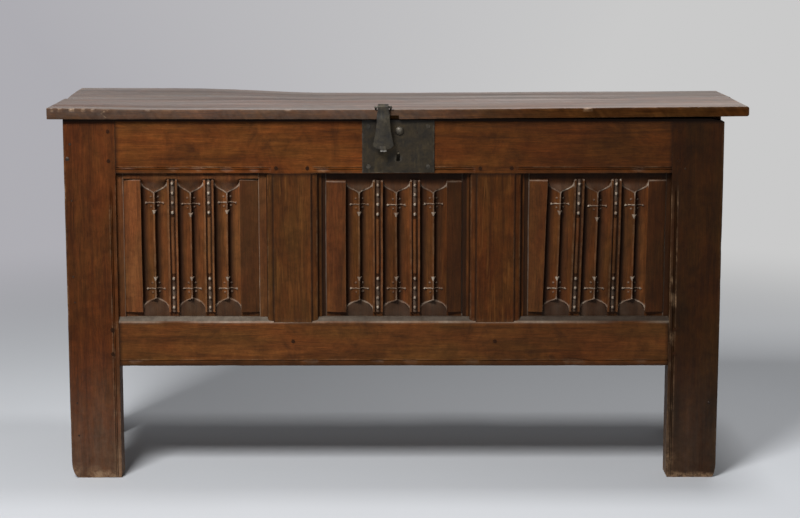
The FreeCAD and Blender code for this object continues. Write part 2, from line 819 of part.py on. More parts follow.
def fold_end(left, right, end, way):
    """Ogee outline that is cut from the end of a bay; way is 1 at the top and -1 at the bottom."""
    middle = (left + right) / 2
    corner = OGEE_CORNER_SHARE * (middle - left)
    run = middle - left - corner
    drop = OGEE_DROP_SHARE * (middle - left)
    radius = (run * run + drop * drop) / (2 * drop)
    shoulder = end - way * s.ogee_shoulder
    level = shoulder - way * corner
    outside = end + way * s.overrun
    return [
        (left, outside),
        (left, shoulder, corner, way),
        (left + corner, level, radius, -way),
        (middle, level - way * drop, radius, -way),
        (right - corner, level, corner, way),
        (right, shoulder),
        (right, outside),
    ]


def linenfold_panel(label, opening, lean):
    body = panel_board(label, front_layer, opening)
    low = sill_top + s.fold_bottom_margin
    high = opening_top - s.fold_top_margin
    pad = add(body, "plan", (low, high), [(point[0] - lean, *point[1:]) for point in fold_profile(opening)])
    pad.UseCustomVector = True
    pad.AlongSketchNormal = True
    bind(pad, "Direction.x", lean / (high - low))
    bind(pad, "Direction.y", 0)
    bind(pad, "Direction.z", 1)
    ends = []
    for left, right in fold_bays(opening):
        ends.append(fold_end(left, right, high, 1))
        ends.append(fold_end(left - lean, right - lean, low, -1))
    cut(body, "front", front_layer(fold_depth(s.fold_strip_height) - s.overrun, fold_depth(0)), *ends)
    return body


# Floor

def floor_boards():
    inside = half_width - s.end_rail_thickness - s.floor_gap
    pitch = 2 * inside / FLOOR_BOARD_COUNT
    front = s.rail_thickness - s.floor_groove_depth + s.floor_gap
    back = s.case_depth - front
    front_x, back_x = front_frame.stile_inner - s.floor_gap, rear_frame.stile_inner - s.floor_gap
    notch_front = s.stile_thickness + s.floor_gap
    notch_back = s.case_depth - notch_front
    level = (floor_bottom, floor_bottom + s.floor_thickness)
    for index in range(FLOOR_BOARD_COUNT):
        left = -inside + index * pitch + s.floor_gap / 2
        right = -inside + (index + 1) * pitch - s.floor_gap / 2
        outline = box(left, front, right, back)
        if index == 0:
            outline = [(left, notch_front), (-front_x, notch_front), (-front_x, front), (right, front),
                       (right, back), (-back_x, back), (-back_x, notch_back), (left, notch_back)]
        if index == FLOOR_BOARD_COUNT - 1:
            outline = [(left, front), (front_x, front), (front_x, notch_front), (right, notch_front),
                       (right, notch_back), (back_x, notch_back), (back_x, back), (left, back)]
        add(new_body(f"floor_board_{index + 1}"), "plan", level, outline)


# Pegs

def peg_group(label, layers, length, places):
    body = new_body(label)
    for layer in layers:
        add(body, "front", layer(-s.peg_proud, length), *[circle(x, z, s.peg_radius) for x, z in places])


def pegs():
    ends = [place for side in SIDES.values() for place in end_pegs(side)]
    peg_group("front_frame_pegs", [front_layer], s.peg_length, frame_pegs(front_frame))
    peg_group("rear_frame_pegs", [rear_layer], s.peg_length, frame_pegs(rear_frame))
    peg_group("end_frame_pegs", [front_layer, rear_layer], s.end_peg_length, ends)


# Lid

def dowel_circles(radius):
    height = s.case_height + s.lid_thickness / 2
    return [circle(share * s.dowel_spacing, height, radius) for share in DOWEL_SHARES]


def lid_holes(body, start, end):
    """Blind holes for the dowels and for those strap nails that lie in a board."""
    half = s.dowel_length / 2
    cut(body, "front", (lid_joint - half, lid_joint + half), *dowel_circles(s.dowel_radius + s.peg_clearance))
    places = [(x, y) for x, y in strap_nail_places() if number(start) < number(y) < number(end)]
    holes = [circle(x, y, s.nail_radius + s.nail_clearance) for x, y in places]
    depth = strap_nail_length + s.nail_clearance
    cut(body, "plan", (s.case_height - s.overrun, s.case_height + depth), *holes)


def staple_legs_sketch(body, radius):
    """Circles of the hasp staple's legs on a plane through its bar, square to the slanting legs."""
    sketch = new_sketch(body, "front", hasp_y)
    sketch.AttachmentOffset = Placement(Vector(), Rotation(Vector(1, 0, 0), -STAPLE_TILT_DEGREES))
    bind(sketch, "AttachmentOffset.Base.y", hasp_z)
    bind(sketch, "AttachmentOffset.Base.z", -1 * hasp_y)
    places = [s.hasp_offset + side * s.staple_leg_offset for side in SIDES.values()]
    fill_sketch(sketch, [circle(x, 0, radius) for x in places])
    return sketch


def lid_front_board():
    body = new_body("lid_front_board")
    add(body, "plan", (s.case_height, lid_top), box(lid_left, lid_front, lid_right, lid_joint))
    lid_holes(body, lid_front, lid_joint)
    half = s.lid_notch_width / 2
    cut(body, "front", (lid_front - s.overrun, lid_front + s.lid_notch_depth),
        box(s.lid_notch_offset - half, s.case_height - s.overrun, s.lid_notch_offset + half,
            s.case_height + s.lid_notch_height))
    legs = staple_legs_sketch(body, s.staple_leg_radius + s.nail_clearance)
    pocket(body, legs, staple_leg_length + s.nail_clearance, False)


def lid_rear_board():
    """The rear board, warped so that its left rear corner stands up."""
    body = new_body("lid_rear_board")
    sections = []
    places = ((lid_left, s.lid_warp_lift), (lid_left + s.lid_warp_length, 0), (lid_right, 0))
    for x, lift in places:
        sketch = new_sketch(body, "side", x)
        draw_outline(sketch, [(lid_joint, s.case_height), (lid_back, s.case_height + lift),
                              (lid_back, lid_top + lift), (lid_joint, lid_top)])
        sections.append(sketch)
    loft = body.newObject("PartDesign::AdditiveLoft", f"{body.Name}_loft")
    loft.Profile = sections[0]
    loft.Sections = sections[1:]
    loft.Ruled = True
    lid_holes(body, lid_joint, lid_back)


def lid_dowels():
    half = s.dowel_length / 2 - s.peg_clearance
    add(new_body("lid_dowels"), "front", (lid_joint - half, lid_joint + half), *dowel_circles(s.dowel_radius))


# Lid hinges

def strap_nail_places():
    first = s.case_depth - s.strap_nail_first
    pitch = (first - strap_tip - s.strap_nail_last) / (STRAP_NAIL_COUNT - 1)
    return [(side * s.hinge_offset, first - index * pitch)
            for side in SIDES.values() for index in range(STRAP_NAIL_COUNT)]


def leaf_nail_places():
    across = s.leaf_width / 2 - s.leaf_nail_inset
    lower = hinge_z - s.leaf_height + s.leaf_nail_inset
    upper = hinge_z - s.hinge_eye_radius - s.leaf_nail_inset
    return [(side * s.hinge_offset + way * across, height)
            for side in SIDES.values() for way in SIDES.values() for height in (lower, upper)]


def hinge(name, side):
    middle = side * s.hinge_offset
    knuckle = s.hinge_knuckle_width / 2
    bore = s.hinge_pin_radius + s.hinge_pin_clearance
    hinge_strap(f"{name}_hinge_strap", middle, knuckle, bore)
    hinge_leaf(f"{name}_hinge_leaf", middle, knuckle + s.hinge_side_gap, bore)
    pin = new_body(f"{name}_hinge_pin")
    reach = s.leaf_width / 2 + s.hinge_side_gap
    add(pin, "side", (middle - reach, middle + reach), circle(hinge_y, hinge_z, s.hinge_pin_radius))
    for start, end in ((middle - reach - s.hinge_pin_head, middle - reach),
                       (middle + reach, middle + reach + s.hinge_pin_head)):
        add(pin, "side", (start, end), circle(hinge_y, hinge_z, s.hinge_pin_head_radius))


def hinge_strap(label, middle, knuckle, bore):
    """Tapered strap under the lid with a leaf-shaped tip, rolled into the middle eye."""
    body = new_body(label)
    root = s.strap_root_width / 2
    neck = s.strap_neck_width / 2
    shoulder = strap_tip + s.strap_tip_length
    level = (s.case_height - s.strap_thickness, s.case_height)
    add(body, "plan", level, [
        (middle - root, s.case_depth),
        (middle - neck, shoulder, s.strap_tip_radius, 1),
        (middle, strap_tip, s.strap_tip_radius, 1),
        (middle + neck, shoulder),
        (middle + root, s.case_depth),
    ])
    add(body, "plan", level, box(middle - knuckle, s.case_depth - s.overrun, middle + knuckle, hinge_y))
    span = (middle - knuckle, middle + knuckle)
    add(body, "side", span, circle(hinge_y, hinge_z, s.hinge_eye_radius))
    cut(body, "side", span, circle(hinge_y, hinge_z, bore))
    holes = [circle(x, y, s.nail_radius + s.nail_clearance) for x, y in strap_nail_places()
             if abs(number(x) - number(middle)) < number(root)]
    cut(body, "plan", wide(level, s.overrun), *holes)


def hinge_leaf(label, middle, gap, bore):
    """Plate on the rear rail, rolled into two eyes on each side of the strap's eye."""
    body = new_body(label)
    half = s.leaf_width / 2
    bottom = hinge_z - s.leaf_height
    notch = hinge_z - s.hinge_eye_radius - s.hinge_stand_off
    add(body, "front", (s.case_depth, s.case_depth + s.leaf_thickness), [
        (middle - half, bottom), (middle + half, bottom), (middle + half, hinge_z), (middle + gap, hinge_z),
        (middle + gap, notch), (middle - gap, notch), (middle - gap, hinge_z), (middle - half, hinge_z),
    ])
    for span in ((middle - half, middle - gap), (middle + gap, middle + half)):
        add(body, "side", span, circle(hinge_y, hinge_z, s.hinge_eye_radius))
    cut(body, "side", (middle - half, middle + half), circle(hinge_y, hinge_z, bore))
    holes = [circle(x, z, s.nail_radius + s.nail_clearance) for x, z in leaf_nail_places()
             if abs(number(x) - number(middle)) < number(half)]
    cut(body, "front", (s.case_depth, s.case_depth + s.leaf_thickness + s.overrun), *holes)


def nails():
    """Hand-made nails: a shank and a flat head each."""
    straps = new_body("strap_nails")
    under = s.case_height - s.strap_thickness
    add(straps, "plan", (under - s.nail_head, s.case_height + strap_nail_length),
        *[circle(x, y, s.nail_radius) for x, y in strap_nail_places()])
    add(straps, "plan", (under - s.nail_head, under),
        *[circle(x, y, s.nail_head_radius) for x, y in strap_nail_places()])
    leaves = new_body("leaf_nails")
    face = s.case_depth + s.leaf_thickness
    add(leaves, "front", (s.case_depth - s.leaf_nail_length, face + s.nail_head),
        *[circle(x, z, s.nail_radius) for x, z in leaf_nail_places()])
    add(leaves, "front", (face, face + s.nail_head),
        *[circle(x, z, s.nail_head_radius) for x, z in leaf_nail_places()])
    plate = new_body("lock_plate_nails")
    face = -s.lock_plate_thickness
    add(plate, "front", (face - s.nail_head, s.plate_nail_length),
        *[circle(x, z, s.nail_radius) for x, z in plate_nail_places()])
    add(plate, "front", (face - s.nail_head, face),
        *[circle(x, z, s.nail_head_radius) for x, z in plate_nail_places()])


# Lock

def plate_nail_places():
    across = s.lock_plate_width / 2 - s.lock_plate_nail_inset
    return [(s.lock_offset + side * across, height) for side in SIDES.values()
            for height in (plate_bottom + s.lock_plate_nail_inset, plate_top - s.lock_plate_nail_inset)]


def keyhole():
    """Round eye over a slot that widens towards its foot."""
    x = s.lock_offset
    neck = s.keyhole_slot_width / 2
    foot = s.keyhole_foot_width / 2
    bottom = keyhole_z + s.keyhole_radius - s.keyhole_height
    return [(x - foot, bottom), (x + foot, bottom), (x + neck, keyhole_z, s.keyhole_radius, 1),
            (x, keyhole_z + s.keyhole_radius, s.keyhole_radius, 1), (x - neck, keyhole_z)]


def lock_plate():
    body = new_body("lock_plate")
    half = s.lock_plate_width / 2
    layer = front_layer(-s.lock_plate_thickness, 0)
    add(body, "front", layer, box(s.lock_offset - half, plate_bottom, s.lock_offset + half, plate_top))
    side = s.catch_width / 2 + s.catch_slot_side
    slot = box(s.hasp_offset - side, catch_z - s.catch_height / 2 - s.catch_slot_below,
               s.hasp_offset + side, catch_z + s.catch_height / 2 + s.catch_slot_above)
    cut(body, "front", wide(layer, s.overrun), keyhole(), slot)
    holes = [circle(x, z, s.nail_radius + s.nail_clearance) for x, z in plate_nail_places()]
    holes.append(circle(s.lock_offset, boss_z, s.boss_shank_radius + s.nail_clearance))
    cut(body, "front", wide(layer, s.overrun), *holes)


def lock_boss():
    """Domed rivet above the keyhole, turned about its own axis."""
    body = new_body("lock_boss")
    face = -s.lock_plate_thickness
    radius = (s.boss_radius * s.boss_radius + s.boss_height * s.boss_height) / (2 * s.boss_height)
    sketch = new_sketch(body, "side", s.lock_offset)
    draw_outline(sketch, [
        (face - s.boss_height, boss_z),
        (s.boss_shank_length, boss_z),
        (s.boss_shank_length, boss_z + s.boss_shank_radius),
        (face, boss_z + s.boss_shank_radius),
        (face, boss_z + s.boss_radius, radius, 1),
    ])
    turn = body.newObject("PartDesign::Revolution", f"{body.Name}_turn")
    turn.Profile = sketch
    turn.ReferenceAxis = (sketch, ["Edge1"])


def lock_bolt():
    """Sliding bolt with a lug that the key's bit pushes."""
    body = new_body("lock_bolt")
    tip = s.lock_offset - s.bolt_tip_offset
    low, high = bolt_z - s.bolt_height / 2, bolt_z + s.bolt_height / 2
    lug = s.bolt_lug_width / 2
    notch = s.bolt_lug_notch_radius
    foot = low - s.bolt_lug_drop
    x = s.lock_offset
    add(body, "front", front_layer(s.bolt_clearance, s.bolt_clearance + s.bolt_thickness), [
        (tip, low), (x - lug, low), (x - lug, foot), (x - notch, foot, notch, -1),
        (x, foot + notch, notch, -1), (x + notch, foot), (x + lug, foot), (x + lug, low),
        (tip + s.bolt_length, low), (tip + s.bolt_length, high), (tip, high),
    ])


def lock_bolt_guides():
    """Two bridges on the back of the plate that the bolt slides through."""
    body = new_body("lock_bolt_guides")
    room = s.bolt_height / 2 + s.bolt_clearance
    outer = room + s.guide_wall
    inside = s.bolt_thickness + 2 * s.bolt_clearance
    bridge = [
        (0, bolt_z - outer), (inside + s.guide_wall, bolt_z - outer), (inside + s.guide_wall, bolt_z + outer),
        (0, bolt_z + outer), (0, bolt_z + room), (inside, bolt_z + room), (inside, bolt_z - room),
        (0, bolt_z - room),
    ]
    for offset in (s.guide_first, s.guide_second):
        start = s.lock_offset + offset
        add(body, "side", (start, start + s.guide_width), bridge)


def lock_spring():
    """Leaf spring that bears on the bolt's upper edge, with its foot on the plate."""
    body = new_body("lock_spring")
    right = s.lock_offset + s.guide_second - s.bolt_clearance
    left = right - s.spring_reach
    rest = bolt_z + s.bolt_height / 2 + s.bolt_clearance
    root = rest + s.spring_rise
    add(body, "front", front_layer(0, s.bolt_thickness), [
        (left, rest, s.spring_radius, 1),
        (right - s.spring_foot, root),
        (right, root),
        (right, root + s.spring_thickness),
        (right - s.spring_foot, root + s.spring_thickness, s.spring_radius, -1),
        (left, rest + s.spring_thickness),
    ])


def lock_cap():
    """Bridge behind the keyhole that carries the drill pin."""
    body = new_body("lock_cap")
    half = s.cap_width / 2
    x = s.lock_offset
    inside = s.cap_depth - s.cap_wall
    add(body, "plan", (cap_bottom, cap_bottom + s.cap_height), [
        (x - half, 0), (x - half, s.cap_depth), (x + half, s.cap_depth), (x + half, 0),
        (x + half - s.cap_wall, 0), (x + half - s.cap_wall, inside), (x - half + s.cap_wall, inside),
        (x - half + s.cap_wall, 0),
    ])
    pin = new_body("lock_drill_pin")
    add(pin, "front", front_layer(-s.drill_pin_proud, inside), circle(x, keyhole_z, s.drill_pin_radius))


# Hasp

def hasp_outline():
    """Front view of the hasp: a strap that flares and ends in a rounded foot."""
    x = s.hasp_offset
    top = hasp_z + s.hasp_eye_radius + s.overrun
    neck = s.hasp_top_width / 2
    flare = s.hasp_flare_width / 2
    foot = s.hasp_foot_width / 2
    start = hasp_z - s.hasp_flare_start
    end = hasp_z - s.hasp_flare_end
    bottom = hasp_z - s.hasp_length
    return [
        (x - neck, top),
        (x - neck, start, s.hasp_flare_radius, -1),
        (x - flare, end, s.hasp_foot_radius, 1),
        (x - foot, bottom),
        (x + foot, bottom, s.hasp_foot_radius, 1),
        (x + flare, end, s.hasp_flare_radius, -1),
        (x + neck, start),
        (x + neck, top),
    ]


def hasp():
    body = new_body("hasp")
    half = s.hasp_flare_width / 2
    span = (s.hasp_offset - half, s.hasp_offset + half)
    bottom = hasp_z - s.hasp_length
    add(body, "side", span, box(hasp_front, bottom, hasp_back, hasp_z))
    add(body, "side", span, circle(hasp_y, hasp_z, s.hasp_eye_radius))
    cut(body, "side", span, circle(hasp_y, hasp_z, s.hasp_bar_radius + s.hasp_bar_clearance))
    top = hasp_z + s.hasp_eye_radius + s.overrun
    waste = box(span[0] - s.overrun, bottom - s.overrun, span[1] + s.overrun, top + s.overrun)
    cut(body, "front", (hasp_front - s.overrun, hasp_y + s.hasp_eye_radius + s.overrun), waste, hasp_outline())
    lip = s.hasp_lip_width / 2
    tip = hasp_front - s.hasp_lip_reach
    add(body, "side", (s.hasp_offset - lip, s.hasp_offset + lip), [
        (hasp_back, bottom + s.hasp_lip_root), (hasp_front, bottom + s.hasp_lip_root), (tip, bottom),
        (tip, bottom - s.hasp_lip_drop), (hasp_back, bottom),
    ])


def hasp_catch():
    """Loop riveted to the back of the hasp, which the bolt passes through."""
    body = new_body("hasp_catch")
    outer = s.catch_height / 2
    inner = outer - s.catch_bar
    tip = -s.lock_plate_thickness - s.catch_gap
    half = s.catch_width / 2
    add(body, "side", (s.hasp_offset - half, s.hasp_offset + half), [
        (hasp_back, catch_z - outer), (tip, catch_z - outer), (tip, catch_z + outer),
        (hasp_back, catch_z + outer), (hasp_back, catch_z + inner), (tip - s.catch_bar, catch_z + inner),
        (tip - s.catch_bar, catch_z - inner), (hasp_back, catch_z - inner),
    ])


def hasp_staple():
    """Staple driven slantwise into the lid's front arris; the hasp's eye turns on its bar."""
    body = new_body("hasp_staple")
    reach = s.staple_leg_offset + s.staple_bar_end
    bar = circle(hasp_y, hasp_z, s.hasp_bar_radius)
    add(body, "side", (s.hasp_offset - reach, s.hasp_offset + reach), bar)
    legs = body.newObject("PartDesign::Pad", f"{body.Name}_legs")
    legs.Profile = staple_legs_sketch(body, s.staple_leg_radius)
    legs.Reversed = True
    bind(legs, "Length", staple_leg_length)


# The whole chest

for name, side in SIDES.items():
    stile(f"front_{name}_stile", side, front_frame, True)
    stile(f"rear_{name}_stile", side, rear_frame, False)
    muntin(f"front_{name}_muntin", side, front_frame, True)
    muntin(f"rear_{name}_muntin", side, rear_frame, False)
    end_frame(name, side)
    hinge(name, side)
front_top_rail()
front_bottom_rail()
rear_top_rail()
bottom_rail("rear_bottom_rail", rear_frame)
for name, opening in openings(front_frame).items():
    lean = s.right_fold_lean if name == "right" else 0 * s.right_fold_lean
    linenfold_panel(f"front_{name}_panel", opening, lean)
for name, opening in openings(rear_frame).items():
    panel_board(f"rear_{name}_panel", rear_layer, opening)
floor_boards()
pegs()
lid_front_board()
lid_rear_board()
lid_dowels()
nails()
lock_plate()
lock_boss()
lock_bolt()
lock_bolt_guides()
lock_spring()
lock_cap()
hasp()
hasp_catch()
hasp_staple()
doc.recompute()

# Checks, then one file for each piece
pieces = [thing for thing in doc.Objects if thing.TypeId == "PartDesign::Body"]
failed = [thing.Name for thing in doc.Objects if "Invalid" in thing.State or "Error" in thing.State]
failed += [piece.Label for piece in pieces if piece.Shape.isNull() or not piece.Shape.isValid()]
if failed:
    raise RuntimeError(f"these failed: {failed}")
os.makedirs("parts", exist_ok=True)
for piece in pieces:
    piece.Shape.exportStep(f"parts/{piece.Label}.step")
print(len(pieces), "pieces,", sum(len(piece.Shape.Solids) for piece in pieces), "solids")
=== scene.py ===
import math
from types import SimpleNamespace

import bmesh
import bpy
from bpy.props import FloatProperty, FloatVectorProperty, PointerProperty
from mathutils import Matrix, Vector, noise


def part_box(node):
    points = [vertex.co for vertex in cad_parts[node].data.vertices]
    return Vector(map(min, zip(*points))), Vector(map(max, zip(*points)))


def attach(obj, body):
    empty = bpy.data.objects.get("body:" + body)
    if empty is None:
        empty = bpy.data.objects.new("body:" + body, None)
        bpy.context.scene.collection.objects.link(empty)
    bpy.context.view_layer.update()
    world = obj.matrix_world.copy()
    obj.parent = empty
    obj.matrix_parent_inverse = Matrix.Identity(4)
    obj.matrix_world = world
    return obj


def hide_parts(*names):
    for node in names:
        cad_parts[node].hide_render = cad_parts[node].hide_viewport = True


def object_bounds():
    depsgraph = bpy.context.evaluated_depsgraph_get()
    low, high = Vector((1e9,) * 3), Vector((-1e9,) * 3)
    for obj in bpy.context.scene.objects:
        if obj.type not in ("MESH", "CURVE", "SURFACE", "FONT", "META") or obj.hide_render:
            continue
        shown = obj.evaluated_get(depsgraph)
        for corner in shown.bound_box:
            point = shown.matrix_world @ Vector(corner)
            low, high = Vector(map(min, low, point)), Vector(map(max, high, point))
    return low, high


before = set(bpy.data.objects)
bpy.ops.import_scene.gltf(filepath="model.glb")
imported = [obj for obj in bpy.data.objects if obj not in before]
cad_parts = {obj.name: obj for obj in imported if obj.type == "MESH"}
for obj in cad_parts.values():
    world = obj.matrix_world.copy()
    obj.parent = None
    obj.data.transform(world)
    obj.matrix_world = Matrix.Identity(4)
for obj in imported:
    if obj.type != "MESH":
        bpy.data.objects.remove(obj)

bl_info = {
    "name": "Coffer finish",
    "version": (1, 0, 0),
    "blender": (4, 5, 0),
    "location": "3D View > Sidebar > Coffer",
    "description": "Models and finishes an old oak coffer with linenfold panels over its CAD frame",
    "category": "Object",
}

CAD_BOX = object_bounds()
SIDES = ("left", "right")
BAYS = ("left", "centre", "right")
AXES = "xyz"
# Point layers that the finishes read: rubbed wood, dirt with painted shade, and dust with painted highlights
# and sheen
NOTES = ("worn", "dirt_and_shade", "dust_and_highlight")
# Distance below which two places count as one
TOUCH = 1e-6
# Distance at which points are welded, or lie in one plane
WELD = 1e-5
# Shrinkage of a front stile at its inner edge
STILE_TRIM = 0.0035
# Width of the moulding along each side of a front muntin
MOULDING_WIDTH = 0.020
# Depth of a carved panel's ground behind the lock plate
PANEL_RECESS = 0.016


# sizes and colours that a user would change

def length(label, description, default):
    """A size in metres."""
    return FloatProperty(name=label, description=description, default=default, unit="LENGTH", precision=5)


def share(label, description, default):
    """A share of one."""
    return FloatProperty(name=label, description=description, default=default, subtype="FACTOR")


def colour(label, description, default):
    """A linear colour."""
    return FloatVectorProperty(name=label, description=description, default=default, size=3,
                               subtype="COLOR", min=0.0, max=1.0)


class CofferTimber(bpy.types.PropertyGroup):
    """How the planed oak timbers have worn."""
    arris: length("Bare arris", "Rounding of an edge that hands and feet reach", 0.0024)
    joint_arris: length("Joint arris", "Rounding of an edge that meets another timber", 0.0006)
    sway: length("Sway", "How far a hand-planed face wanders", 0.0005)
    chip: length("Chip", "Depth of the chips along a bare edge", 0.004)
    column: length("Column", "Widest face strip between two lines of points", 0.022)
    guard: length("Guard", "Distance of the first line of points from a corner", 0.003)
    station: length("Station", "Distance between two cross sections", 0.011)
    scratch_width: length("Scratch width", "Width of a scratch moulding's line", 0.0021)
    scratch_depth: length("Scratch depth", "Depth of a scratch moulding's line", 0.0018)
    scratch_first: length("First scratch", "Distance of the first line from the edge", 0.0073)
    scratch_second: length("Second scratch", "Distance of the second line from the edge", 0.0105)
    scratch_stop: length("Scratch stop", "Length over which a line runs out", 0.006)
    sill: length("Sill chamfer", "Width of the chamfer on the bottom rail", 0.0095)
    foot_left: length("Left foot", "Width of the left feet's worn outer corner", 0.016)
    foot_right: length("Right foot", "Width of the right feet's worn outer corner", 0.009)
    foot_rise: length("Foot rise", "Height of a foot's worn outer corner", 0.034)
    foot_inner: length("Inner foot", "Rounding of a foot's inner end", 0.006)
    foot_scuff: length("Foot scuff", "Height of the abraded wood at a foot", 0.045)


class CofferFold(bpy.types.PropertyGroup):
    """The linenfold carving of a front panel."""
    cell: length("Cell", "Distance between two carved points", 0.0009)
    plain_cell: length("Plain cell", "Distance between two rows where the folds run straight", 0.005)
    end_zone: length("End zone", "Height of the carved ends", 0.086)
    top_margin: length("Top margin", "Plain ground above the folds", 0.0145)
    bottom_margin: length("Bottom margin", "Plain ground below the folds", 0.009)
    strip_outer: length("Outer strip height", "Height of a strip at its outer edge", 0.0036)
    strip_inner: length("Inner strip height", "Height of a strip at its inner edge", 0.0085)
    rib: length("Rib", "Width of a beaded rib", 0.0195)
    fillet: length("Fillet", "Width of a rib's fillets", 0.0038)
    quirk: length("Quirk", "Width of the lines beside a bead", 0.0027)
    rib_height: length("Rib height", "Height of a rib's fillets", 0.0082)
    quirk_height: length("Quirk height", "Height of the lines beside a bead", 0.0042)
    bead: length("Bead", "Rise of a rib's bead", 0.0032)
    hollow: length("Hollow", "Lowest height of a fold's hollows", -0.0028)
    ridge: length("Ridge", "Height of a fold's ridge", 0.0074)
    ridge_width: length("Ridge width", "Width of a ridge's top", 0.0026)
    edge: length("Edge", "Height of a hollow's rim beside a strip or rib", 0.0068)
    cup: length("Cup", "Depth of the cup that ends a fold", 0.0185)
    tip: length("Tip", "Fall of the cup into the ridge", 0.0050)
    hem: length("Hem", "Width of the raised hem round a cup", 0.0024)
    hem_rise: length("Hem rise", "Rise of the hem", 0.0016)
    cross: length("Cross", "Distance of a cross bar from the folds' end", 0.0465)
    bud: length("Bud", "Distance of a bud from the folds' end", 0.0662)
    reach: length("Bar reach", "Half length of a cross bar", 0.0165)
    bar: length("Bar", "Half width of a cross bar", 0.0011)
    berry: length("Berry", "Radius of a berry", 0.0023)
    stud: length("Stud", "Radius of a stud on a rib", 0.0032)
    stud_pitch: length("Stud pitch", "Distance between two studs", 0.0188)
    lean_first: length("First lean", "Lean of the right panel's first fold", 0.0085)
    lean_last: length("Last lean", "Lean of the right panel's last fold", 0.003)


class CofferOak(bpy.types.PropertyGroup):
    """Colours of the oak."""
    heart: colour("Heart", "Waxed brown oak", (0.098, 0.0325, 0.0070))
    light: colour("Light", "Lighter streaks and rays", (0.172, 0.068, 0.0165))
    deep: colour("Deep", "Darkest streaks and stains", (0.028, 0.0105, 0.0034))
    worn: colour("Worn", "Bare wood on worn edges", (0.31, 0.19, 0.105))
    dust: colour("Dust", "Pale dust on ledges and carved edges", (0.43, 0.355, 0.275))
    dry: colour("Dry", "Unwaxed wood inside the chest", (0.22, 0.145, 0.085))
    stretch: FloatProperty(name="Stretch", description="Length of the grain over its width", default=16.0)
    fibre: FloatProperty(name="Fibre", description="Fineness of the fibres", default=32.0)
    gloss: share("Roughness", "Roughness of the waxed face", 0.46)
    wax: share("Wax", "Strength of the waxed face's reflections", 0.1)


class CofferIron(bpy.types.PropertyGroup):
    """Colours and wear of the ironwork."""
    dark: colour("Dark", "Black oxide", (0.021, 0.018, 0.0145))
    brown: colour("Brown", "Rust brown patches", (0.047, 0.036, 0.021))
    bright: colour("Bright", "Iron rubbed bright", (0.42, 0.4, 0.36))
    bevel: length("Bevel", "Softened edges of forged plates", 0.0006)
    dent: length("Dent", "Depth of the hammer marks", 0.0005)


class CofferStage(bpy.types.PropertyGroup):
    """Camera, light, floor and backdrop."""
    lens: FloatProperty(name="Lens", description="Focal length in millimetres", default=90.0)
    camera: FloatVectorProperty(name="Camera", description="Place of the camera", size=3,
                                default=(-0.0094, -3.99405, 1.0627), subtype="XYZ", unit="LENGTH")
    pitch: FloatProperty(name="Pitch", description="Downward tilt of the camera",
                         default=math.radians(9.366), subtype="ANGLE")
    yaw: FloatProperty(name="Yaw", description="Turn of the camera to the right",
                       default=math.radians(0.199), subtype="ANGLE")
    floor: colour("Floor", "Pale grey floor", (0.59, 0.608, 0.636))
    far_left: colour("Far left", "Tone of the floor far away on the left", (0.42, 0.415, 0.445))
    far_right: colour("Far right", "Tone of the floor far away on the right", (0.59, 0.59, 0.59))
    fade_start: length("Fade start", "Distance at which the floor turns to its far tone", 1.05)
    fade_end: length("Fade end", "Distance at which the floor has its far tone", 3.0)
    bounce: share("Bounce", "Share of the floor's brightness that it throws back on the chest", 0.56)
    key: FloatProperty(name="Key", description="Power of the soft light at the upper left", default=162.0)
    top: FloatProperty(name="Top", description="Power of the overhead light", default=16.0)
    world: FloatProperty(name="World", description="Strength of the ambient light", default=0.05)
    backdrop: FloatProperty(name="Backdrop", description="Light that the backdrop throws back", default=0.2)


# small helpers

def smooth(value, low, high):
    """A soft step from 0 at low to 1 at high."""
    part = min(1.0, max(0.0, (value - low) / (high - low)))
    return part * part * (3.0 - 2.0 * part)


def dome(distance, radius):
    """Height of a unit dome at a distance from its middle."""
    return math.sqrt(max(0.0, 1.0 - (distance / radius) ** 2))


def lay(axis, across, deep, along):
    """A point from a timber's section and its place along the grain."""
    if axis == "x":
        return Vector((along, across, deep))
    if axis == "y":
        return Vector((across, along, deep))
    return Vector((across, deep, along))


def new_mesh(*names):
    """An empty mesh with a point layer of each name."""
    bm = bmesh.new()
    for name in names:
        bm.verts.layers.float.new(name)
    return bm


def layers(bm, *names):
    """A mesh's point layers of these names."""
    return [bm.verts.layers.float[name] for name in names]


def bend_at(vert):
    """Sharpest outward bend of the edges at a point, in radians."""
    return max((edge.calc_face_angle_signed(0.0) for edge in vert.link_edges), default=0.0)


def push(moves):
    """Moves points once all their moves are known."""
    for vert, move in moves:
        vert.co += move


def piece(name, bm, body, nodes, material, crease=35.0):
    """Makes the finished object of a bmesh inside the CAD box, riding on its body in place of its nodes."""
    for vert in bm.verts:
        vert.co = [min(high, max(low, value)) for low, high, value in zip(*CAD_BOX, vert.co)]
    mesh = bpy.data.meshes.new(name)
    bm.to_mesh(mesh)
    bm.free()
    mesh.materials.append(material)
    mesh.polygons.foreach_set("use_smooth", [True] * len(mesh.polygons))
    mesh.set_sharp_from_angle(angle=math.radians(crease))
    made = bpy.data.objects.new(name, mesh)
    bpy.context.scene.collection.objects.link(made)
    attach(made, body)
    if nodes:
        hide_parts(*nodes)
    return made


def aged(node, bm, material, body="case", crease=35.0):
    """Finishes the mesh that takes the place of one CAD node."""
    return piece(f"aged_{node}", bm, body, [node], material, crease)


def aged_timber(node, bm, slot, axis, tone, seed, body="case", crease=35.0, **looks):
    """Finishes a timber in its own oak."""
    return aged(node, bm, oak(f"oak_{node}", axis, tone, seed, **looks), body, crease)


def dress(node, material):
    """Gives a CAD node that stays its own material."""
    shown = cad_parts[node]
    shown.data.materials.clear()
    shown.data.materials.append(material)


# shaders

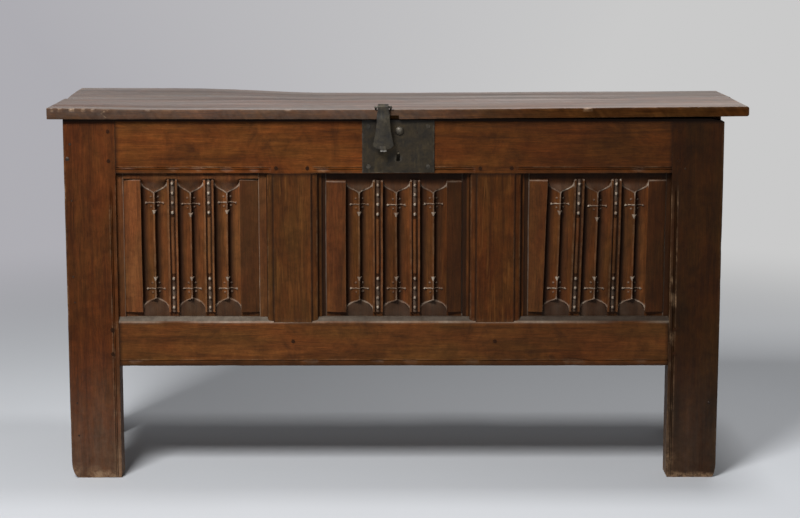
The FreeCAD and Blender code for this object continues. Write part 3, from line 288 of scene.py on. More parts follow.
class Paint:
    """A shader tree, and short ways to add to it."""

    def __init__(self, tree):
        self.tree = tree
        tree.nodes.clear()

    def put(self, socket, value):
        """Links an output to a socket, or sets the socket's own value."""
        if isinstance(value, bpy.types.NodeSocket):
            self.tree.links.new(value, socket)
        else:
            socket.default_value = value

    def add(self, kind, inputs=None, **settings):
        """Adds a node, with values or links for its sockets."""
        made = self.tree.nodes.new(kind)
        for name, value in settings.items():
            setattr(made, name, value)
        for name, value in (inputs or {}).items():
            self.put(made.inputs[name], value)
        return made

    def place(self):
        """Places on the object."""
        return self.add("ShaderNodeTexCoord").outputs["Object"]

    def note(self, name):
        """A point layer of the mesh."""
        return self.add("ShaderNodeAttribute", attribute_name=name).outputs["Fac"]

    def mapped(self, space, change):
        """A space that is shifted, turned or stretched."""
        return self.add("ShaderNodeMapping", {"Vector": space, **change}).outputs["Vector"]

    def mottle(self, space, scale, detail=3.0, rough=0.55, distortion=0.0):
        """Noise from 0 to 1."""
        return self.add("ShaderNodeTexNoise", {"Vector": space, "Scale": scale, "Detail": detail,
                                               "Roughness": rough, "Distortion": distortion}).outputs["Fac"]

    def span(self, value, low, high, first=0.0, last=1.0):
        """A value carried from one range to another and held at its ends."""
        return self.add("ShaderNodeMapRange", {"Value": value, "From Min": low, "From Max": high,
                                               "To Min": first, "To Max": last}).outputs["Result"]

    def sums(self, operation, first, second, clamp=True):
        """One step of arithmetic."""
        made = self.add("ShaderNodeMath", {0: first, 1: second}, operation=operation, use_clamp=clamp)
        return made.outputs[0]

    def times(self, first, second):
        """A product, held between 0 and 1."""
        return self.sums("MULTIPLY", first, second)

    def plus(self, first, second):
        """A sum, held between 0 and 1."""
        return self.sums("ADD", first, second)

    def mix(self, factor, first, second, blend="MIX"):
        """Two colours mixed by a factor."""
        made = self.add("ShaderNodeMix", {0: factor}, data_type="RGBA", blend_type=blend)
        for index, value in ((6, first), (7, second)):
            self.put(made.inputs[index], value if isinstance(value, bpy.types.NodeSocket) else (*value, 1.0))
        return made.outputs[2]

    def tint(self, first, second):
        """A colour multiplied by another."""
        return self.mix(1.0, first, second, "MULTIPLY")

    def bump(self, height, strength, distance, under=None):
        """A normal raised by a height, over another one if it is given."""
        inputs = {"Height": height, "Strength": strength, "Distance": distance}
        if under is not None:
            inputs["Normal"] = under
        return self.add("ShaderNodeBump", inputs).outputs["Normal"]

    def skin(self, inputs):
        """Ends a material in its one shader."""
        made = self.add("ShaderNodeBsdfPrincipled", inputs)
        self.add("ShaderNodeOutputMaterial", {"Surface": made.outputs["BSDF"]})
        return made


def new_material(name):
    """A material and the paint of its empty tree."""
    made = bpy.data.materials.new(name)
    made.use_nodes = True
    return made, Paint(made.node_tree)


def toned(base, tone):
    """A colour with each part scaled."""
    return tuple(value * part for value, part in zip(base, tone))


# Noise in the oak: the space it lies in, then scale, detail, roughness and distortion
OAK_NOISE = {
    "figure": ("grain", 5.5, 7.0, 0.62, 0.4),
    "broad": ("patch", 4.0, 4.0, 0.6, 0.6),
    "stain": ("place", 12.0, 6.0, 0.66, 0.9),
    "blotch": ("place", 30.0, 6.0, 0.72, 0.5),
    "hue": ("patch", 7.0, 3.0, 0.6, 0.0),
    "streak": ("grain", 1.7, 4.0, 0.65, 0.2),
    "split": ("grain", 2.1, 3.0, 0.5, 0.3),
    "rubbing": ("place", 110.0, 5.0, 0.72, 0.0),
    "dusting": ("place", 70.0, 5.0, 0.7, 0.0),
}
# How far a timber's seed moves its grain, so that no two look alike
SEED_SHIFT = (0.37, 0.53, 0.71)
PATCH_STRETCH = 3.0
PORE_FINENESS = 2.3
RAY_TURN = (0.25, 0.35, 0.2)
RAY_STRETCH = 0.35
# Scales of the oak's colours: greenish and reddish wood, rays, dirt and painted shade, cracks, and the lid's
# greyer dust and painted sheen
PATINA = ((0.92, 1.03, 0.97), (1.09, 0.97, 0.92))
RAY_TONE = (1.15, 1.15, 1.1)
DIRT_AND_SHADE_TONE = (0.42, 0.42, 0.45)
CRACK_TONE = (0.6, 0.6, 0.6)
LID_DUST_AND_SHEEN_TONE = (0.87, 1.01, 1.24)


def oak(name, axis, tone=(1.0, 1.0, 1.0), seed=0.0, flecks=0.0, stains=0.5, dry=0.0, polished=0.0,
        cracks=0.25):
    """Old waxed oak with its grain along one axis. The last five say how much it has of each look."""
    finish = bpy.context.scene.coffer_oak
    made, paint = new_material(name)
    place = paint.place()
    away = tuple(seed * part for part in SEED_SHIFT)
    long_grain = tuple(1.0 if own == axis else finish.stretch for own in AXES)
    patches = tuple(1.0 if own == axis else PATCH_STRETCH for own in AXES)
    spaces = {"place": place, "grain": paint.mapped(place, {"Location": away, "Scale": long_grain}),
              "patch": paint.mapped(place, {"Location": away, "Scale": patches})}
    fields = {field: paint.mottle(spaces[space], *values) for field, (space, *values) in OAK_NOISE.items()}
    figure, broad, streak = fields["figure"], fields["broad"], fields["streak"]
    fibre = paint.mottle(spaces["grain"], finish.fibre, 4.0, 0.7)
    pores = paint.mottle(spaces["grain"], finish.fibre * PORE_FINENESS, 2.0, 0.5)
    deep = toned(finish.deep, tone)

    wood = paint.mix(paint.span(figure, 0.12, 0.56), deep, toned(finish.heart, tone))
    lift = paint.times(paint.span(broad, 0.4, 0.75, 0.0, 0.5), paint.span(figure, 0.3, 0.7))
    wood = paint.mix(lift, wood, toned(finish.light, tone))
    wood = paint.tint(wood, paint.span(fibre, 0.3, 0.7, 0.74, 1.25))
    wood = paint.tint(wood, paint.span(streak, 0.3, 0.7, 0.76, 1.26))
    wood = paint.tint(wood, paint.mix(paint.span(fields["hue"], 0.35, 0.65), *PATINA))
    wood = paint.tint(wood, paint.span(fields["blotch"], 0.3, 0.7, 0.66, 1.36))
    wood = paint.mix(paint.span(pores, 0.58, 0.7, 0.0, 0.45), wood, deep)
    if flecks:
        turned = paint.mapped(place, {"Location": away, "Rotation": RAY_TURN,
                                      "Scale": tuple(RAY_STRETCH * value for value in long_grain)})
        rays = paint.times(paint.span(paint.mottle(turned, 19.0, 2.0, 0.5, 1.4), 0.61, 0.68), flecks)
        wood = paint.mix(rays, wood, toned(finish.light, RAY_TONE))
    if dry:
        wood = paint.mix(paint.span(broad, 0.2, 0.9, dry * 0.6, dry), wood, finish.dry)
    wood = paint.mix(paint.times(paint.span(fields["stain"], 0.53, 0.72), stains), wood, deep)
    split = paint.sums("ABSOLUTE", paint.sums("SUBTRACT", fields["split"], 0.5, False), 0.0)
    split = paint.span(split, 0.002 + 0.004 * cracks, 0.008 + 0.018 * cracks, cracks, 0.0)
    wood = paint.mix(split, wood, toned(finish.deep, CRACK_TONE))
    rubbed = paint.times(paint.note("worn"), paint.span(fields["rubbing"], 0.38, 0.6, 0.08, 1.05))
    wood = paint.mix(rubbed, wood, finish.worn)
    # Dirt, and painted shade: under the lid, inside the lock mortise, on the sunk carved ground and beside
    # the carved walls
    dirt_and_shade = paint.note("dirt_and_shade")
    wood = paint.mix(dirt_and_shade, wood, toned(finish.deep, DIRT_AND_SHADE_TONE))
    # Pale dust, with painted highlights on the carving's lit side and painted sheen on the lid's top
    dust_and_highlight = paint.times(paint.note("dust_and_highlight"), paint.span(fields["dusting"], 0.3, 0.66, 0.5, 1.0))
    dust_and_highlight = paint.times(dust_and_highlight, paint.span(streak, 0.35, 0.65, 0.6, 1.4))
    wood = paint.mix(dust_and_highlight, wood, toned(finish.dust, LID_DUST_AND_SHEEN_TONE) if polished else finish.dust)

    matt = paint.plus(paint.span(fibre, 0.2, 0.8, finish.gloss - 0.08, finish.gloss + 0.14),
                      paint.times(paint.plus(rubbed, dust_and_highlight), 0.3))
    relief = paint.bump(figure, 0.35, 0.0012, paint.bump(fibre, 0.4, 0.0006))
    skin = paint.skin({"Base Color": wood, "Roughness": matt, "Normal": relief,
                       "Specular IOR Level": finish.wax})
    if polished:
        dull = paint.plus(paint.plus(dirt_and_shade, split), paint.note("bare"))
        gloss = paint.times(paint.span(dull, 0.0, 0.8, polished, 0.02),
                            paint.span(streak, 0.35, 0.65, 0.65, 1.3))
        paint.put(skin.inputs["Specular IOR Level"], gloss)
    return made


# Scales of the iron's colours: drawn streaks, and painted shade under the lid
STREAK_TONE = (1.7, 1.75, 1.6)
IRON_SHADE_TONE = (0.25, 0.25, 0.25)
DRAWN_STRETCH = (3.0, 1.0, 0.8)
IRON_METAL = 0.6


def iron(name, rubbed_bright=0.0, tone=(1.0, 1.0, 1.0)):
    """Old hammered iron, brown in patches and rubbed on its edges."""
    finish = bpy.context.scene.coffer_iron
    made, paint = new_material(name)
    place = paint.place()
    patch = paint.mottle(place, 38.0, 5.0, 0.65, 0.5)
    pits = paint.mottle(place, 240.0, 4.0, 0.7)
    streak = paint.mottle(paint.mapped(place, {"Scale": DRAWN_STRETCH}), 34.0, 4.0, 0.6, 0.8)
    brown = toned(finish.brown, tone)
    metal = paint.mix(paint.span(patch, 0.38, 0.66), toned(finish.dark, tone), brown)
    metal = paint.mix(paint.span(streak, 0.52, 0.72, 0.0, 0.6), metal, toned(brown, STREAK_TONE))
    metal = paint.tint(metal, paint.span(pits, 0.25, 0.75, 0.65, 1.3))
    edge = paint.times(paint.note("worn"), paint.span(pits, 0.3, 0.65, 0.2, 1.0))
    edge = paint.plus(edge, paint.span(patch, 0.55, 0.8, 0.0, rubbed_bright))
    metal = paint.mix(edge, metal, finish.bright)
    # Painted shade: the lid's shadow on the lock plate's top
    metal = paint.mix(paint.note("dirt_and_shade"), metal, toned(finish.dark, IRON_SHADE_TONE))
    relief = paint.bump(pits, 0.4, 0.0004, paint.bump(patch, 0.5, 0.0012))
    paint.skin({"Base Color": metal, "Roughness": paint.span(pits, 0.2, 0.8, 0.42, 0.62), "Normal": relief,
                "Metallic": IRON_METAL})
    return made


# timbers: a section of a few corners, rounded, drawn out along the grain and worn

# Bends of an edge at which wear starts and is full, in radians
BARE_BEND = (0.14, 0.5)
# Fineness of the noise that sways faces, chips edges and rubs them
SWAY_SCALE, CHIP_SCALE, RUB_SCALE = 6.0, 38.0, 17.0
CHIP_RARITY = 0.2
WEATHER_SHIFT = (1.7, 2.3, 3.1)


def block(low, high, roundings):
    """Corners of a plain section, each with its rounding."""
    corners = ((low[0], low[1]), (high[0], low[1]), (high[0], high[1]), (low[0], high[1]))
    return [(*corner, rounding) for corner, rounding in zip(corners, roundings)]


def divide(bm, edge, column, guard):
    """Adds points to a section's side: one close to each corner, and even ones between."""
    reach = edge.calc_length()
    if reach < 3.0 * guard:
        return
    start, end = (vert.co.copy() for vert in edge.verts)
    count = 2 + int(reach // column)
    made = bmesh.ops.subdivide_edges(bm, edges=[edge], cuts=count)
    points = {item for item in made["geom_inner"] if isinstance(item, bmesh.types.BMVert)}
    for step, vert in enumerate(sorted(points, key=lambda point: (point.co - start).length)):
        place = guard + (reach - 2.0 * guard) * step / (count - 1)
        vert.co = start.lerp(end, place / reach)


def draw_out(bm, faces, move):
    """Extrudes faces and moves what is drawn."""
    drawn = bmesh.ops.extrude_face_region(bm, geom=faces)
    moved = [item for item in drawn["geom"] if isinstance(item, bmesh.types.BMVert)]
    bmesh.ops.translate(bm, verts=moved, vec=move)


def timber(axis, outline, start, end, station=None):
    """Draws a section out along an axis, with cross sections a station apart."""
    wear = bpy.context.scene.coffer_timber
    bm = new_mesh(*NOTES)
    corners = [bm.verts.new(lay(axis, across, deep, start)) for across, deep, _ in outline]
    bm.faces.new(corners)
    for rounding in sorted({corner[2] for corner in outline if corner[2]}):
        chosen = [vert for vert, corner in zip(corners, outline) if corner[2] == rounding]
        bmesh.ops.bevel(bm, geom=chosen, offset=rounding, affect="VERTICES", segments=3, profile=0.5,
                        material=-1)
    for edge in bm.edges[:]:
        divide(bm, edge, wear.column, wear.guard)
    along = lay(axis, 0.0, 0.0, end - start)
    draw_out(bm, bm.faces[:], along)
    bmesh.ops.holes_fill(bm, edges=bm.edges[:], sides=0)
    runs = [edge for edge in bm.edges
            if abs((edge.verts[1].co - edge.verts[0].co).dot(along)) > 0.5 * along.length_squared]
    cuts = max(1, int(along.length // (station or wear.station)))
    bmesh.ops.subdivide_edges(bm, edges=runs, cuts=cuts)
    bmesh.ops.recalc_face_normals(bm, faces=bm.faces[:])
    return bm


def cut(bm, axis, places):
    """Adds lines of points across a mesh."""
    normal = Vector([1.0 if own == axis else 0.0 for own in AXES])
    for place in places:
        bmesh.ops.bisect_plane(bm, geom=bm.verts[:] + bm.edges[:] + bm.faces[:], dist=WELD,
                               plane_co=normal * place, plane_no=normal)


def weather(bm, seed, sway=None, chip=None, rub=0.7):
    """Lets faces wander, chips the bare edges and notes where they are worn."""
    wear = bpy.context.scene.coffer_timber
    sway = wear.sway if sway is None else sway
    chip = wear.chip if chip is None else chip
    (worn,) = layers(bm, "worn")
    away = Vector(WEATHER_SHIFT) * seed
    bm.normal_update()
    moves = []
    for vert in bm.verts:
        bare = smooth(bend_at(vert), *BARE_BEND)
        drift = sway * noise.noise(vert.co * SWAY_SCALE + away)
        bite = chip * bare * max(0.0, noise.noise(vert.co * CHIP_SCALE + away) - CHIP_RARITY)
        uneven = 0.42 + 0.75 * noise.noise(vert.co * RUB_SCALE + away)
        rubbed = bare * rub * (uneven + bite / max(chip, TOUCH))
        vert[worn] = min(1.0, max(vert[worn], rubbed))
        moves.append((vert, vert.normal * (drift - bite)))
    push(moves)


def darken(bm, axis, ends, reach=0.0016, full=0.2, most=0.9):
    """Darkens a timber's ends: dirt in its joints, and painted shadow where an end lies under the lid; full
    over a share of its reach, then fading.
    """
    worn, dirt_and_shade = layers(bm, "worn", "dirt_and_shade")
    index = AXES.index(axis)
    for vert in bm.verts:
        near = 1.0 - smooth(min(abs(vert.co[index] - end) for end in ends), full * reach, reach)
        vert[dirt_and_shade] = max(vert[dirt_and_shade], most * near)
        vert[worn] *= 1.0 - near


def rub_lines(bm, from_edge, from_face, places, runs):
    """Dirt in the lines of a scratch moulding, and wear on the last lip, where the lines run."""
    wear = bpy.context.scene.coffer_timber
    worn, dirt_and_shade = layers(bm, "worn", "dirt_and_shade")
    half = wear.scratch_width / 2.0
    for vert in bm.verts:
        if abs(from_face(vert)) > wear.scratch_depth * 1.6:
            continue
        for place in places:
            over = from_edge(vert) - place
            if abs(over) < half * 1.3:
                keep = runs(vert)
                vert[dirt_and_shade] = max(vert[dirt_and_shade], 0.85 * keep * (1.0 - smooth(abs(over), 0.0, half)))
                rubbed = keep * (0.3 + 0.7 * noise.noise(vert.co * 23.0))
                vert[worn] = max(0.0, rubbed) if place == places[-1] and over > 0.5 * half else 0.0


def scratch_lines(places):
    """Points of the lines of a scratch moulding, as distance along the face and depth."""
    wear = bpy.context.scene.coffer_timber
    half = wear.scratch_width / 2.0
    points = []
    for place in places:
        points += [(place - half, 0.0), (place, wear.scratch_depth), (place + half, 0.0)]
    return points


def sunk(deep, wear):
    """Whether a depth lies in a scratch line."""
    return TOUCH < deep <= wear.scratch_depth + TOUCH


def stile_edge(side):
    """Inner edge of a front stile, whose wood has shrunk a little."""
    low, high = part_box(f"front_{side}_stile")
    return high.x - STILE_TRIM if side == "left" else low.x + STILE_TRIM


class COFFER_OT_stiles(bpy.types.Operator):
    """Models the four corner stiles, which run down into the feet"""
    bl_idname = "coffer.stiles"
    bl_label = "Stiles"

    TONES = {"front_left_stile": (0.71, 0.59, 0.57), "front_right_stile": (0.29, 0.29, 0.28),
             "rear_left_stile": (0.95, 0.95, 0.95), "rear_right_stile": (0.9, 0.92, 0.95)}
    CHIPPED = "front_right_stile"
    CHIP_WIDTH = 0.017
    CHIP_DEPTH = 0.0065
    CHIP_REACH = 0.012
    LEVELS = (0.001, 0.0025, 0.005, 0.008, 0.0125, 0.018, 0.026, 0.7025)
    LINE_ROOM = 0.004
    LEFT_DUST, RIGHT_DUST = 0.1, 0.05

    def execute(self, context):
        wear = context.scene.coffer_timber
        opening_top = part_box("front_top_rail")[0].z
        for seed, (node, tone) in enumerate(self.TONES.items()):
            post = self.stand(node)
            outline = [(post.outer, post.face, wear.arris)]
            if post.front:
                lines = scratch_lines((post.width - wear.scratch_second, post.width - wear.scratch_first))
                outline += [(post.outer + post.inward * along, post.face + post.into * deep, 0.0)
                            for along, deep in lines]
            outline += [(post.inner, post.face, wear.joint_arris * 2.0), (post.inner, post.back, wear.arris),
                        (post.outer, post.back, wear.arris)]
            bm = timber("z", outline, post.foot, post.head)
            cut(bm, "z", self.LEVELS)
            self.shape(bm, wear, post, opening_top, node == self.CHIPPED)
            weather(bm, seed + 1.0)
            if post.front:
                rub_lines(bm, lambda vert: (post.inner - vert.co.x) * post.inward,
                          lambda vert: (vert.co.y - post.face) * post.into,
                          (wear.scratch_first, wear.scratch_second),
                          lambda vert: 0.6 * self.runs(vert.co.z, opening_top))
            # Painted shadow of the lid's overhang along the stile's top
            darken(bm, "z", (post.head,), 0.009, 0.45, 1.0)
            self.scuff(bm, wear, post, seed)
            aged_timber(node, bm, "oak_frame", "z", tone, seed + 0.4, stains=0.6)
        return {"FINISHED"}

    def stand(self, node):
        """Edges and faces of a stile, and its ways inward along the chest and into it."""
        low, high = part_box(node)
        front = node.startswith("front")
        outer, inner = (low.x, high.x) if "left" in node else (high.x, low.x)
        inward = 1.0 if inner > outer else -1.0
        face, back = (low.y, high.y) if front else (high.y, low.y)
        into = 1.0 if back > face else -1.0
        if front:
            inner -= inward * STILE_TRIM
        return SimpleNamespace(front=front, outer=outer, inner=inner, inward=inward, face=face, back=back,
                               into=into, width=abs(inner - outer), foot=low.z, head=high.z)

    def shape(self, bm, wear, post, opening_top, chipped):
        """Rounds the foot, stops the mouldings at the rail and breaks one top corner."""
        foot = wear.foot_left if post.inward > 0.0 else wear.foot_right
        corners = ((foot, wear.foot_rise, post.inward, post.outer),
                   (wear.foot_inner, wear.foot_inner, -post.inward, post.inner))
        for vert in bm.verts:
            deep = (vert.co.y - post.face) * post.into
            reach = (vert.co.x - post.outer) * post.inward
            if sunk(deep, wear) and reach > post.width - wear.scratch_second - self.LINE_ROOM:
                vert.co.y = post.face + post.into * deep * self.runs(vert.co.z, opening_top)
            for broad, tall, sense, limit in corners:
                if vert.co.z < tall:
                    least = broad * (1.0 - dome(tall - max(0.0, vert.co.z), tall))
                    if (vert.co.x - limit) * sense < least:
                        vert.co.x = limit + sense * least
            if chipped and vert.co.z > post.head - self.CHIP_REACH and reach < self.CHIP_WIDTH:
                fall = self.CHIP_DEPTH * (1.0 - reach / self.CHIP_WIDTH) ** 0.8
                vert.co.z = min(vert.co.z, post.head - fall)

    def runs(self, rise, opening_top):
        """1 where a stile's scratch lines run: up to a little below the top rail."""
        return 1.0 - smooth(rise, opening_top - 0.045, opening_top - 0.02)

    def scuff(self, bm, wear, post, seed):
        """Notes the abraded wood at the foot and the dust on the leg."""
        worn, dust_and_highlight = layers(bm, "worn", "dust_and_highlight")
        dust = self.LEFT_DUST if post.inward > 0.0 else self.RIGHT_DUST
        for vert in bm.verts:
            ragged = noise.noise(vert.co * 30.0 + Vector((seed, 0.0, 4.0)))
            height = wear.foot_scuff * (0.55 + 0.9 * ragged)
            low = 1.0 - smooth(vert.co.z, height * 0.25, max(height, 0.002))
            near = 1.0 - smooth(abs(vert.co.x - post.inner), 0.004, 0.02)
            edge = near * (1.0 - smooth(vert.co.z, 0.03, 0.14)) * (0.5 + ragged)
            vert[worn] = min(1.0, max(vert[worn], 0.75 * low, 0.6 * edge))
            vert[dust_and_highlight] = dust * (1.0 - smooth(vert.co.z, 0.02, 0.3))


class COFFER_OT_rails(bpy.types.Operator):
    """Models the top and bottom rails of the front, back and ends"""
    bl_idname = "coffer.rails"
    bl_label = "Rails"

    TOP_TONE, BOTTOM_TONE = (1.1, 0.95, 0.8), (1.16, 1.16, 1.25)
    REAR_TONE, END_TONE = (0.9, 0.9, 0.92), (0.95, 0.95, 0.95)
    FRONT_STATION = 0.008
    LINE_STOP = 0.002
    LINE_CUTS = (-0.003, 0.0, 0.003)
    SHADOW_CUTS = (0.0045, 0.0065)
    MORTISE_LEFT = 0.0425
    MORTISE_RIGHT = 0.058
    MORTISE_ROOM = 0.0115
    MORTISE_TOP = 0.020
    MORTISE_DEPTH = 0.024

    def execute(self, context):
        wear = context.scene.coffer_timber
        self.front_top(wear)
        self.front_bottom(wear)
        for seed, level in enumerate(("top", "bottom")):
            self.rear_rail(wear, level, seed)
            for order, side in enumerate(SIDES):
                self.end_rail(wear, side, level, seed, order)
        return {"FINISHED"}

    def rear_rail(self, wear, level, seed):
        """A plain rail between the rear stiles."""
        node = f"rear_{level}_rail"
        low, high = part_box(node)
        small = wear.joint_arris
        outline = block((low.y, low.z), (high.y, high.z), (small, wear.arris, small, small))
        bm = timber("x", outline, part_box("rear_left_stile")[1].x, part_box("rear_right_stile")[0].x)
        weather(bm, 20.0 + seed, chip=0.001)
        aged_timber(node, bm, "oak_frame", "x", self.REAR_TONE, 7.0 + seed)

    def end_rail(self, wear, side, level, seed, order):
        """A plain rail from a front to a rear stile."""
        node = f"{side}_end_{level}_rail"
        low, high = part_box(node)
        outline = block((low.x, low.z), (high.x, high.z), (wear.joint_arris * 2.0,) * 4)
        bm = timber("y", outline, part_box(f"front_{side}_stile")[1].y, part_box(f"rear_{side}_stile")[0].y)
        weather(bm, 30.0 + seed + 5.0 * order, chip=0.001)
        aged_timber(node, bm, "oak_frame", "y", self.END_TONE, 11.0 + seed + 3.0 * order)

    def front_rail(self, low, corners, places):
        """A front rail between the stiles, with scratch lines above its lower edge."""
        lines = [(low.y + deep, low.z + rise, 0.0) for rise, deep in reversed(scratch_lines(places))]
        return timber("x", corners + lines, stile_edge("left"), stile_edge("right"), self.FRONT_STATION)

    def runs(self, across, wear, stops):
        """1 where a rail's scratch lines run: they run out over the muntins."""
        return min(max(smooth(stop[0] - across, 0.0, wear.scratch_stop),
                       smooth(across - stop[1], 0.0, wear.scratch_stop)) for stop in stops)

    def front_top(self, wear):
        """The rail that holds the lock, with two scratch lines."""
        node = "front_top_rail"
        low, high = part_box(node)
        small = wear.joint_arris
        places = (wear.scratch_first, wear.scratch_second)
        bm = self.front_rail(low, [(low.y, low.z, wear.arris * 0.6), (high.y, low.z, small),
                                   (high.y, high.z, small), (low.y, high.z, small)], places)
        edge = MOULDING_WIDTH - self.LINE_STOP
        muntins = [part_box(f"front_{side}_muntin") for side in SIDES]
        stops = [(first.x + edge, last.x - edge) for first, last in muntins]
        cut(bm, "x", [end + step for stop in stops for end in stop for step in self.LINE_CUTS])
        for vert in bm.verts:
            deep = vert.co.y - low.y
            if sunk(deep, wear):
                vert.co.y = low.y + deep * self.runs(vert.co.x, wear, stops)
        self.lock_pocket(bm)
        cut(bm, "z", [high.z - drop for drop in self.SHADOW_CUTS])
        weather(bm, 10.0, rub=0.4)
        self.soil(bm, low, places, lambda vert: self.runs(vert.co.x, wear, stops), 0.42)
        # Painted shadow of the lid's overhang along the rail's top
        darken(bm, "z", (high.z,), 0.0065, 0.69, 1.0)
        aged_timber(node, bm, "oak_frame", "x", self.TOP_TONE, 3.2, stains=0.85)

    def front_bottom(self, wear):
        """The rail with the chamfered sill and one scratch line."""
        node = "front_bottom_rail"
        low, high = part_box(node)
        small = wear.joint_arris
        places = (wear.scratch_second,)
        bm = self.front_rail(low, [(low.y, low.z, wear.arris), (high.y, low.z, wear.arris),
                                   (high.y, high.z, small), (low.y + wear.sill, high.z, small),
                                   (low.y, high.z - wear.sill, wear.arris * 0.5)], places)
        weather(bm, 12.0, rub=0.35)
        self.soil(bm, low, places, lambda vert: 0.7, 0.36)
        dust_and_highlight, dirt_and_shade = layers(bm, "dust_and_highlight", "dirt_and_shade")
        for vert in bm.verts:
            on_sill = smooth(vert.co.z, high.z - wear.sill * 0.95, high.z - wear.sill * 0.7)
            lip = 1.0 - smooth(abs(vert.co.z - high.z + wear.sill), 0.0006, 0.0016)
            settled = 0.26 - 0.13 * smooth(vert.co.x, -0.45, 0.45)
            vert[dust_and_highlight] = max(settled * on_sill, 0.5 * lip * (0.6 + noise.noise(vert.co * 19.0)))
            foot = 1.0 - smooth(vert.co.z - low.z, wear.scratch_second - 0.002, wear.scratch_second)
            vert[dirt_and_shade] = max(vert[dirt_and_shade], on_sill, 0.55 * foot)
        aged_timber(node, bm, "oak_frame", "x", self.BOTTOM_TONE, 5.7, stains=0.9)

    def soil(self, bm, low, places, runs, smoke):
        """Dirt in a front rail's lines and joints, painted shade inside the lock mortise, and smoke on its
        right half.
        """
        rub_lines(bm, lambda vert: vert.co.z - low.z, lambda vert: vert.co.y - low.y, places, runs)
        darken(bm, "x", (stile_edge("left"), stile_edge("right")))
        (dirt_and_shade,) = layers(bm, "dirt_and_shade")
        left, right, foot, head = self.mortise()
        for vert in bm.verts:
            inside = 0.004 < vert.co.y - low.y < self.MORTISE_DEPTH + 0.002
            inside = inside and left - 0.001 < vert.co.x < right + 0.001
            # Painted shade inside the mortise behind the lock plate
            if inside and foot - 0.001 < vert.co.z < head + 0.001:
                vert[dirt_and_shade] = 1.0
            vert[dirt_and_shade] = max(vert[dirt_and_shade], smoke * smooth(vert.co.x, -0.1, 0.35))

    def mortise(self):
        """Left, right, foot and head of the mortise behind the lock plate."""
        plate_low, plate_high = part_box("lock_plate")
        middle = (plate_low.x + plate_high.x) / 2.0
        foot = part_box("lock_cap")[0].z - self.MORTISE_ROOM
        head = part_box("front_top_rail")[1].z - self.MORTISE_TOP
        return middle - self.MORTISE_LEFT, middle + self.MORTISE_RIGHT, foot, head

    def lock_pocket(self, bm):
        """Cuts the mortise behind the lock plate."""
        left, right, foot, head = self.mortise()
        cut(bm, "x", (left, right))
        cut(bm, "z", (foot, head))
        inside = [face for face in bm.faces if face.normal.y < -0.9
                  and left < face.calc_center_median().x < right
                  and foot < face.calc_center_median().z < head]
        draw_out(bm, inside, (0.0, self.MORTISE_DEPTH, 0.0))
        bmesh.ops.delete(bm, geom=[face for face in inside if face.is_valid], context="FACES")


class COFFER_OT_muntins(bpy.types.Operator):
    """Models the moulded front muntins and the plain rear ones"""
    bl_idname = "coffer.muntins"
    bl_label = "Muntins"

    TONES = {"left": (0.77, 0.79, 0.84), "right": (0.64, 0.56, 0.5)}
    REAR_TONE = (0.9, 0.9, 0.92)
    STATION = 0.009
    OVOLO_WIDTH = 0.012
    QUIRK = 0.002
    OVOLO_DROP = 0.0035
    STEP = 0.003
    CAVETTO_DROP = 0.0045
    ARC_POINTS = 6

    def execute(self, context):
        wear = context.scene.coffer_timber
        for seed, side in enumerate(SIDES):
            self.front_muntin(wear, side, seed)
            self.rear_muntin(wear, side, seed)
        return {"FINISHED"}

    def front_muntin(self, wear, side, seed):
        """A muntin moulded on both sides and scribed to the sill."""
        node = f"front_{side}_muntin"
        low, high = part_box(node)
        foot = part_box("front_bottom_rail")[1].z - wear.sill
        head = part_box("front_top_rail")[0].z
        profile = self.moulding()
        right = [(high.x - MOULDING_WIDTH + out, low.y + deep, 0.0) for out, deep in profile]
        left = [(low.x + MOULDING_WIDTH - out, low.y + deep, 0.0) for out, deep in reversed(profile)]
        back = [(high.x, high.y, 0.0), (low.x, high.y, 0.0)]
        bm = timber("z", left + right + back, foot, head, self.STATION)
        for vert in bm.verts:
            if vert.co.z < foot + WELD:
                vert.co.z += min(vert.co.y - low.y, wear.sill)
        weather(bm, 40.0 + seed, sway=0.0003, chip=0.0012, rub=0.35)
        darken(bm, "z", (head,))
        self.fill(bm, low, high)
        aged_timber(node, bm, "oak_frame", "z", self.TONES[side], 13.0 + seed, flecks=0.3, stains=0.4)

    def rear_muntin(self, wear, side, seed):
        """A plain muntin of the back."""
        node = f"rear_{side}_muntin"
        low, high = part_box(node)
        outline = block((low.x, low.y), (high.x, high.y), (wear.joint_arris * 2.0,) * 4)
        bm = timber("z", outline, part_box("rear_bottom_rail")[1].z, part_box("rear_top_rail")[0].z)
        weather(bm, 44.0 + seed, chip=0.001)
        aged_timber(node, bm, "oak_frame", "z", self.REAR_TONE, 16.0 + seed)

    def moulding(self):
        """Half of the front profile: distance out from the flat, and depth."""
        parts = [step / self.ARC_POINTS for step in range(self.ARC_POINTS + 1)]
        base = self.QUIRK + self.OVOLO_DROP + self.STEP
        run = MOULDING_WIDTH - self.OVOLO_WIDTH
        ovolo = [(self.OVOLO_WIDTH * part, self.QUIRK + self.OVOLO_DROP * (1.0 - dome(part, 1.0)))
                 for part in parts[1:]]
        cavetto = [(self.OVOLO_WIDTH + run * part, base + self.CAVETTO_DROP * dome(1.0 - part, 1.0))
                   for part in parts]
        return [(0.0, 0.0), (0.0, self.QUIRK), *ovolo, *cavetto]

    def fill(self, bm, low, high):
        """Dirt in the sunk lines of the mouldings."""
        (dirt_and_shade,) = layers(bm, "dirt_and_shade")
        lines = (0.0004, self.OVOLO_WIDTH + 0.0006, MOULDING_WIDTH)
        for vert in bm.verts:
            out = MOULDING_WIDTH - min(vert.co.x - low.x, high.x - vert.co.x)
            near = min(abs(out - line) for line in lines)
            vert[dirt_and_shade] = max(vert[dirt_and_shade], 0.85 * (1.0 - smooth(near, 0.0008, 0.0026)))


# linenfold: heights over a panel's ground, carved on a fine grid

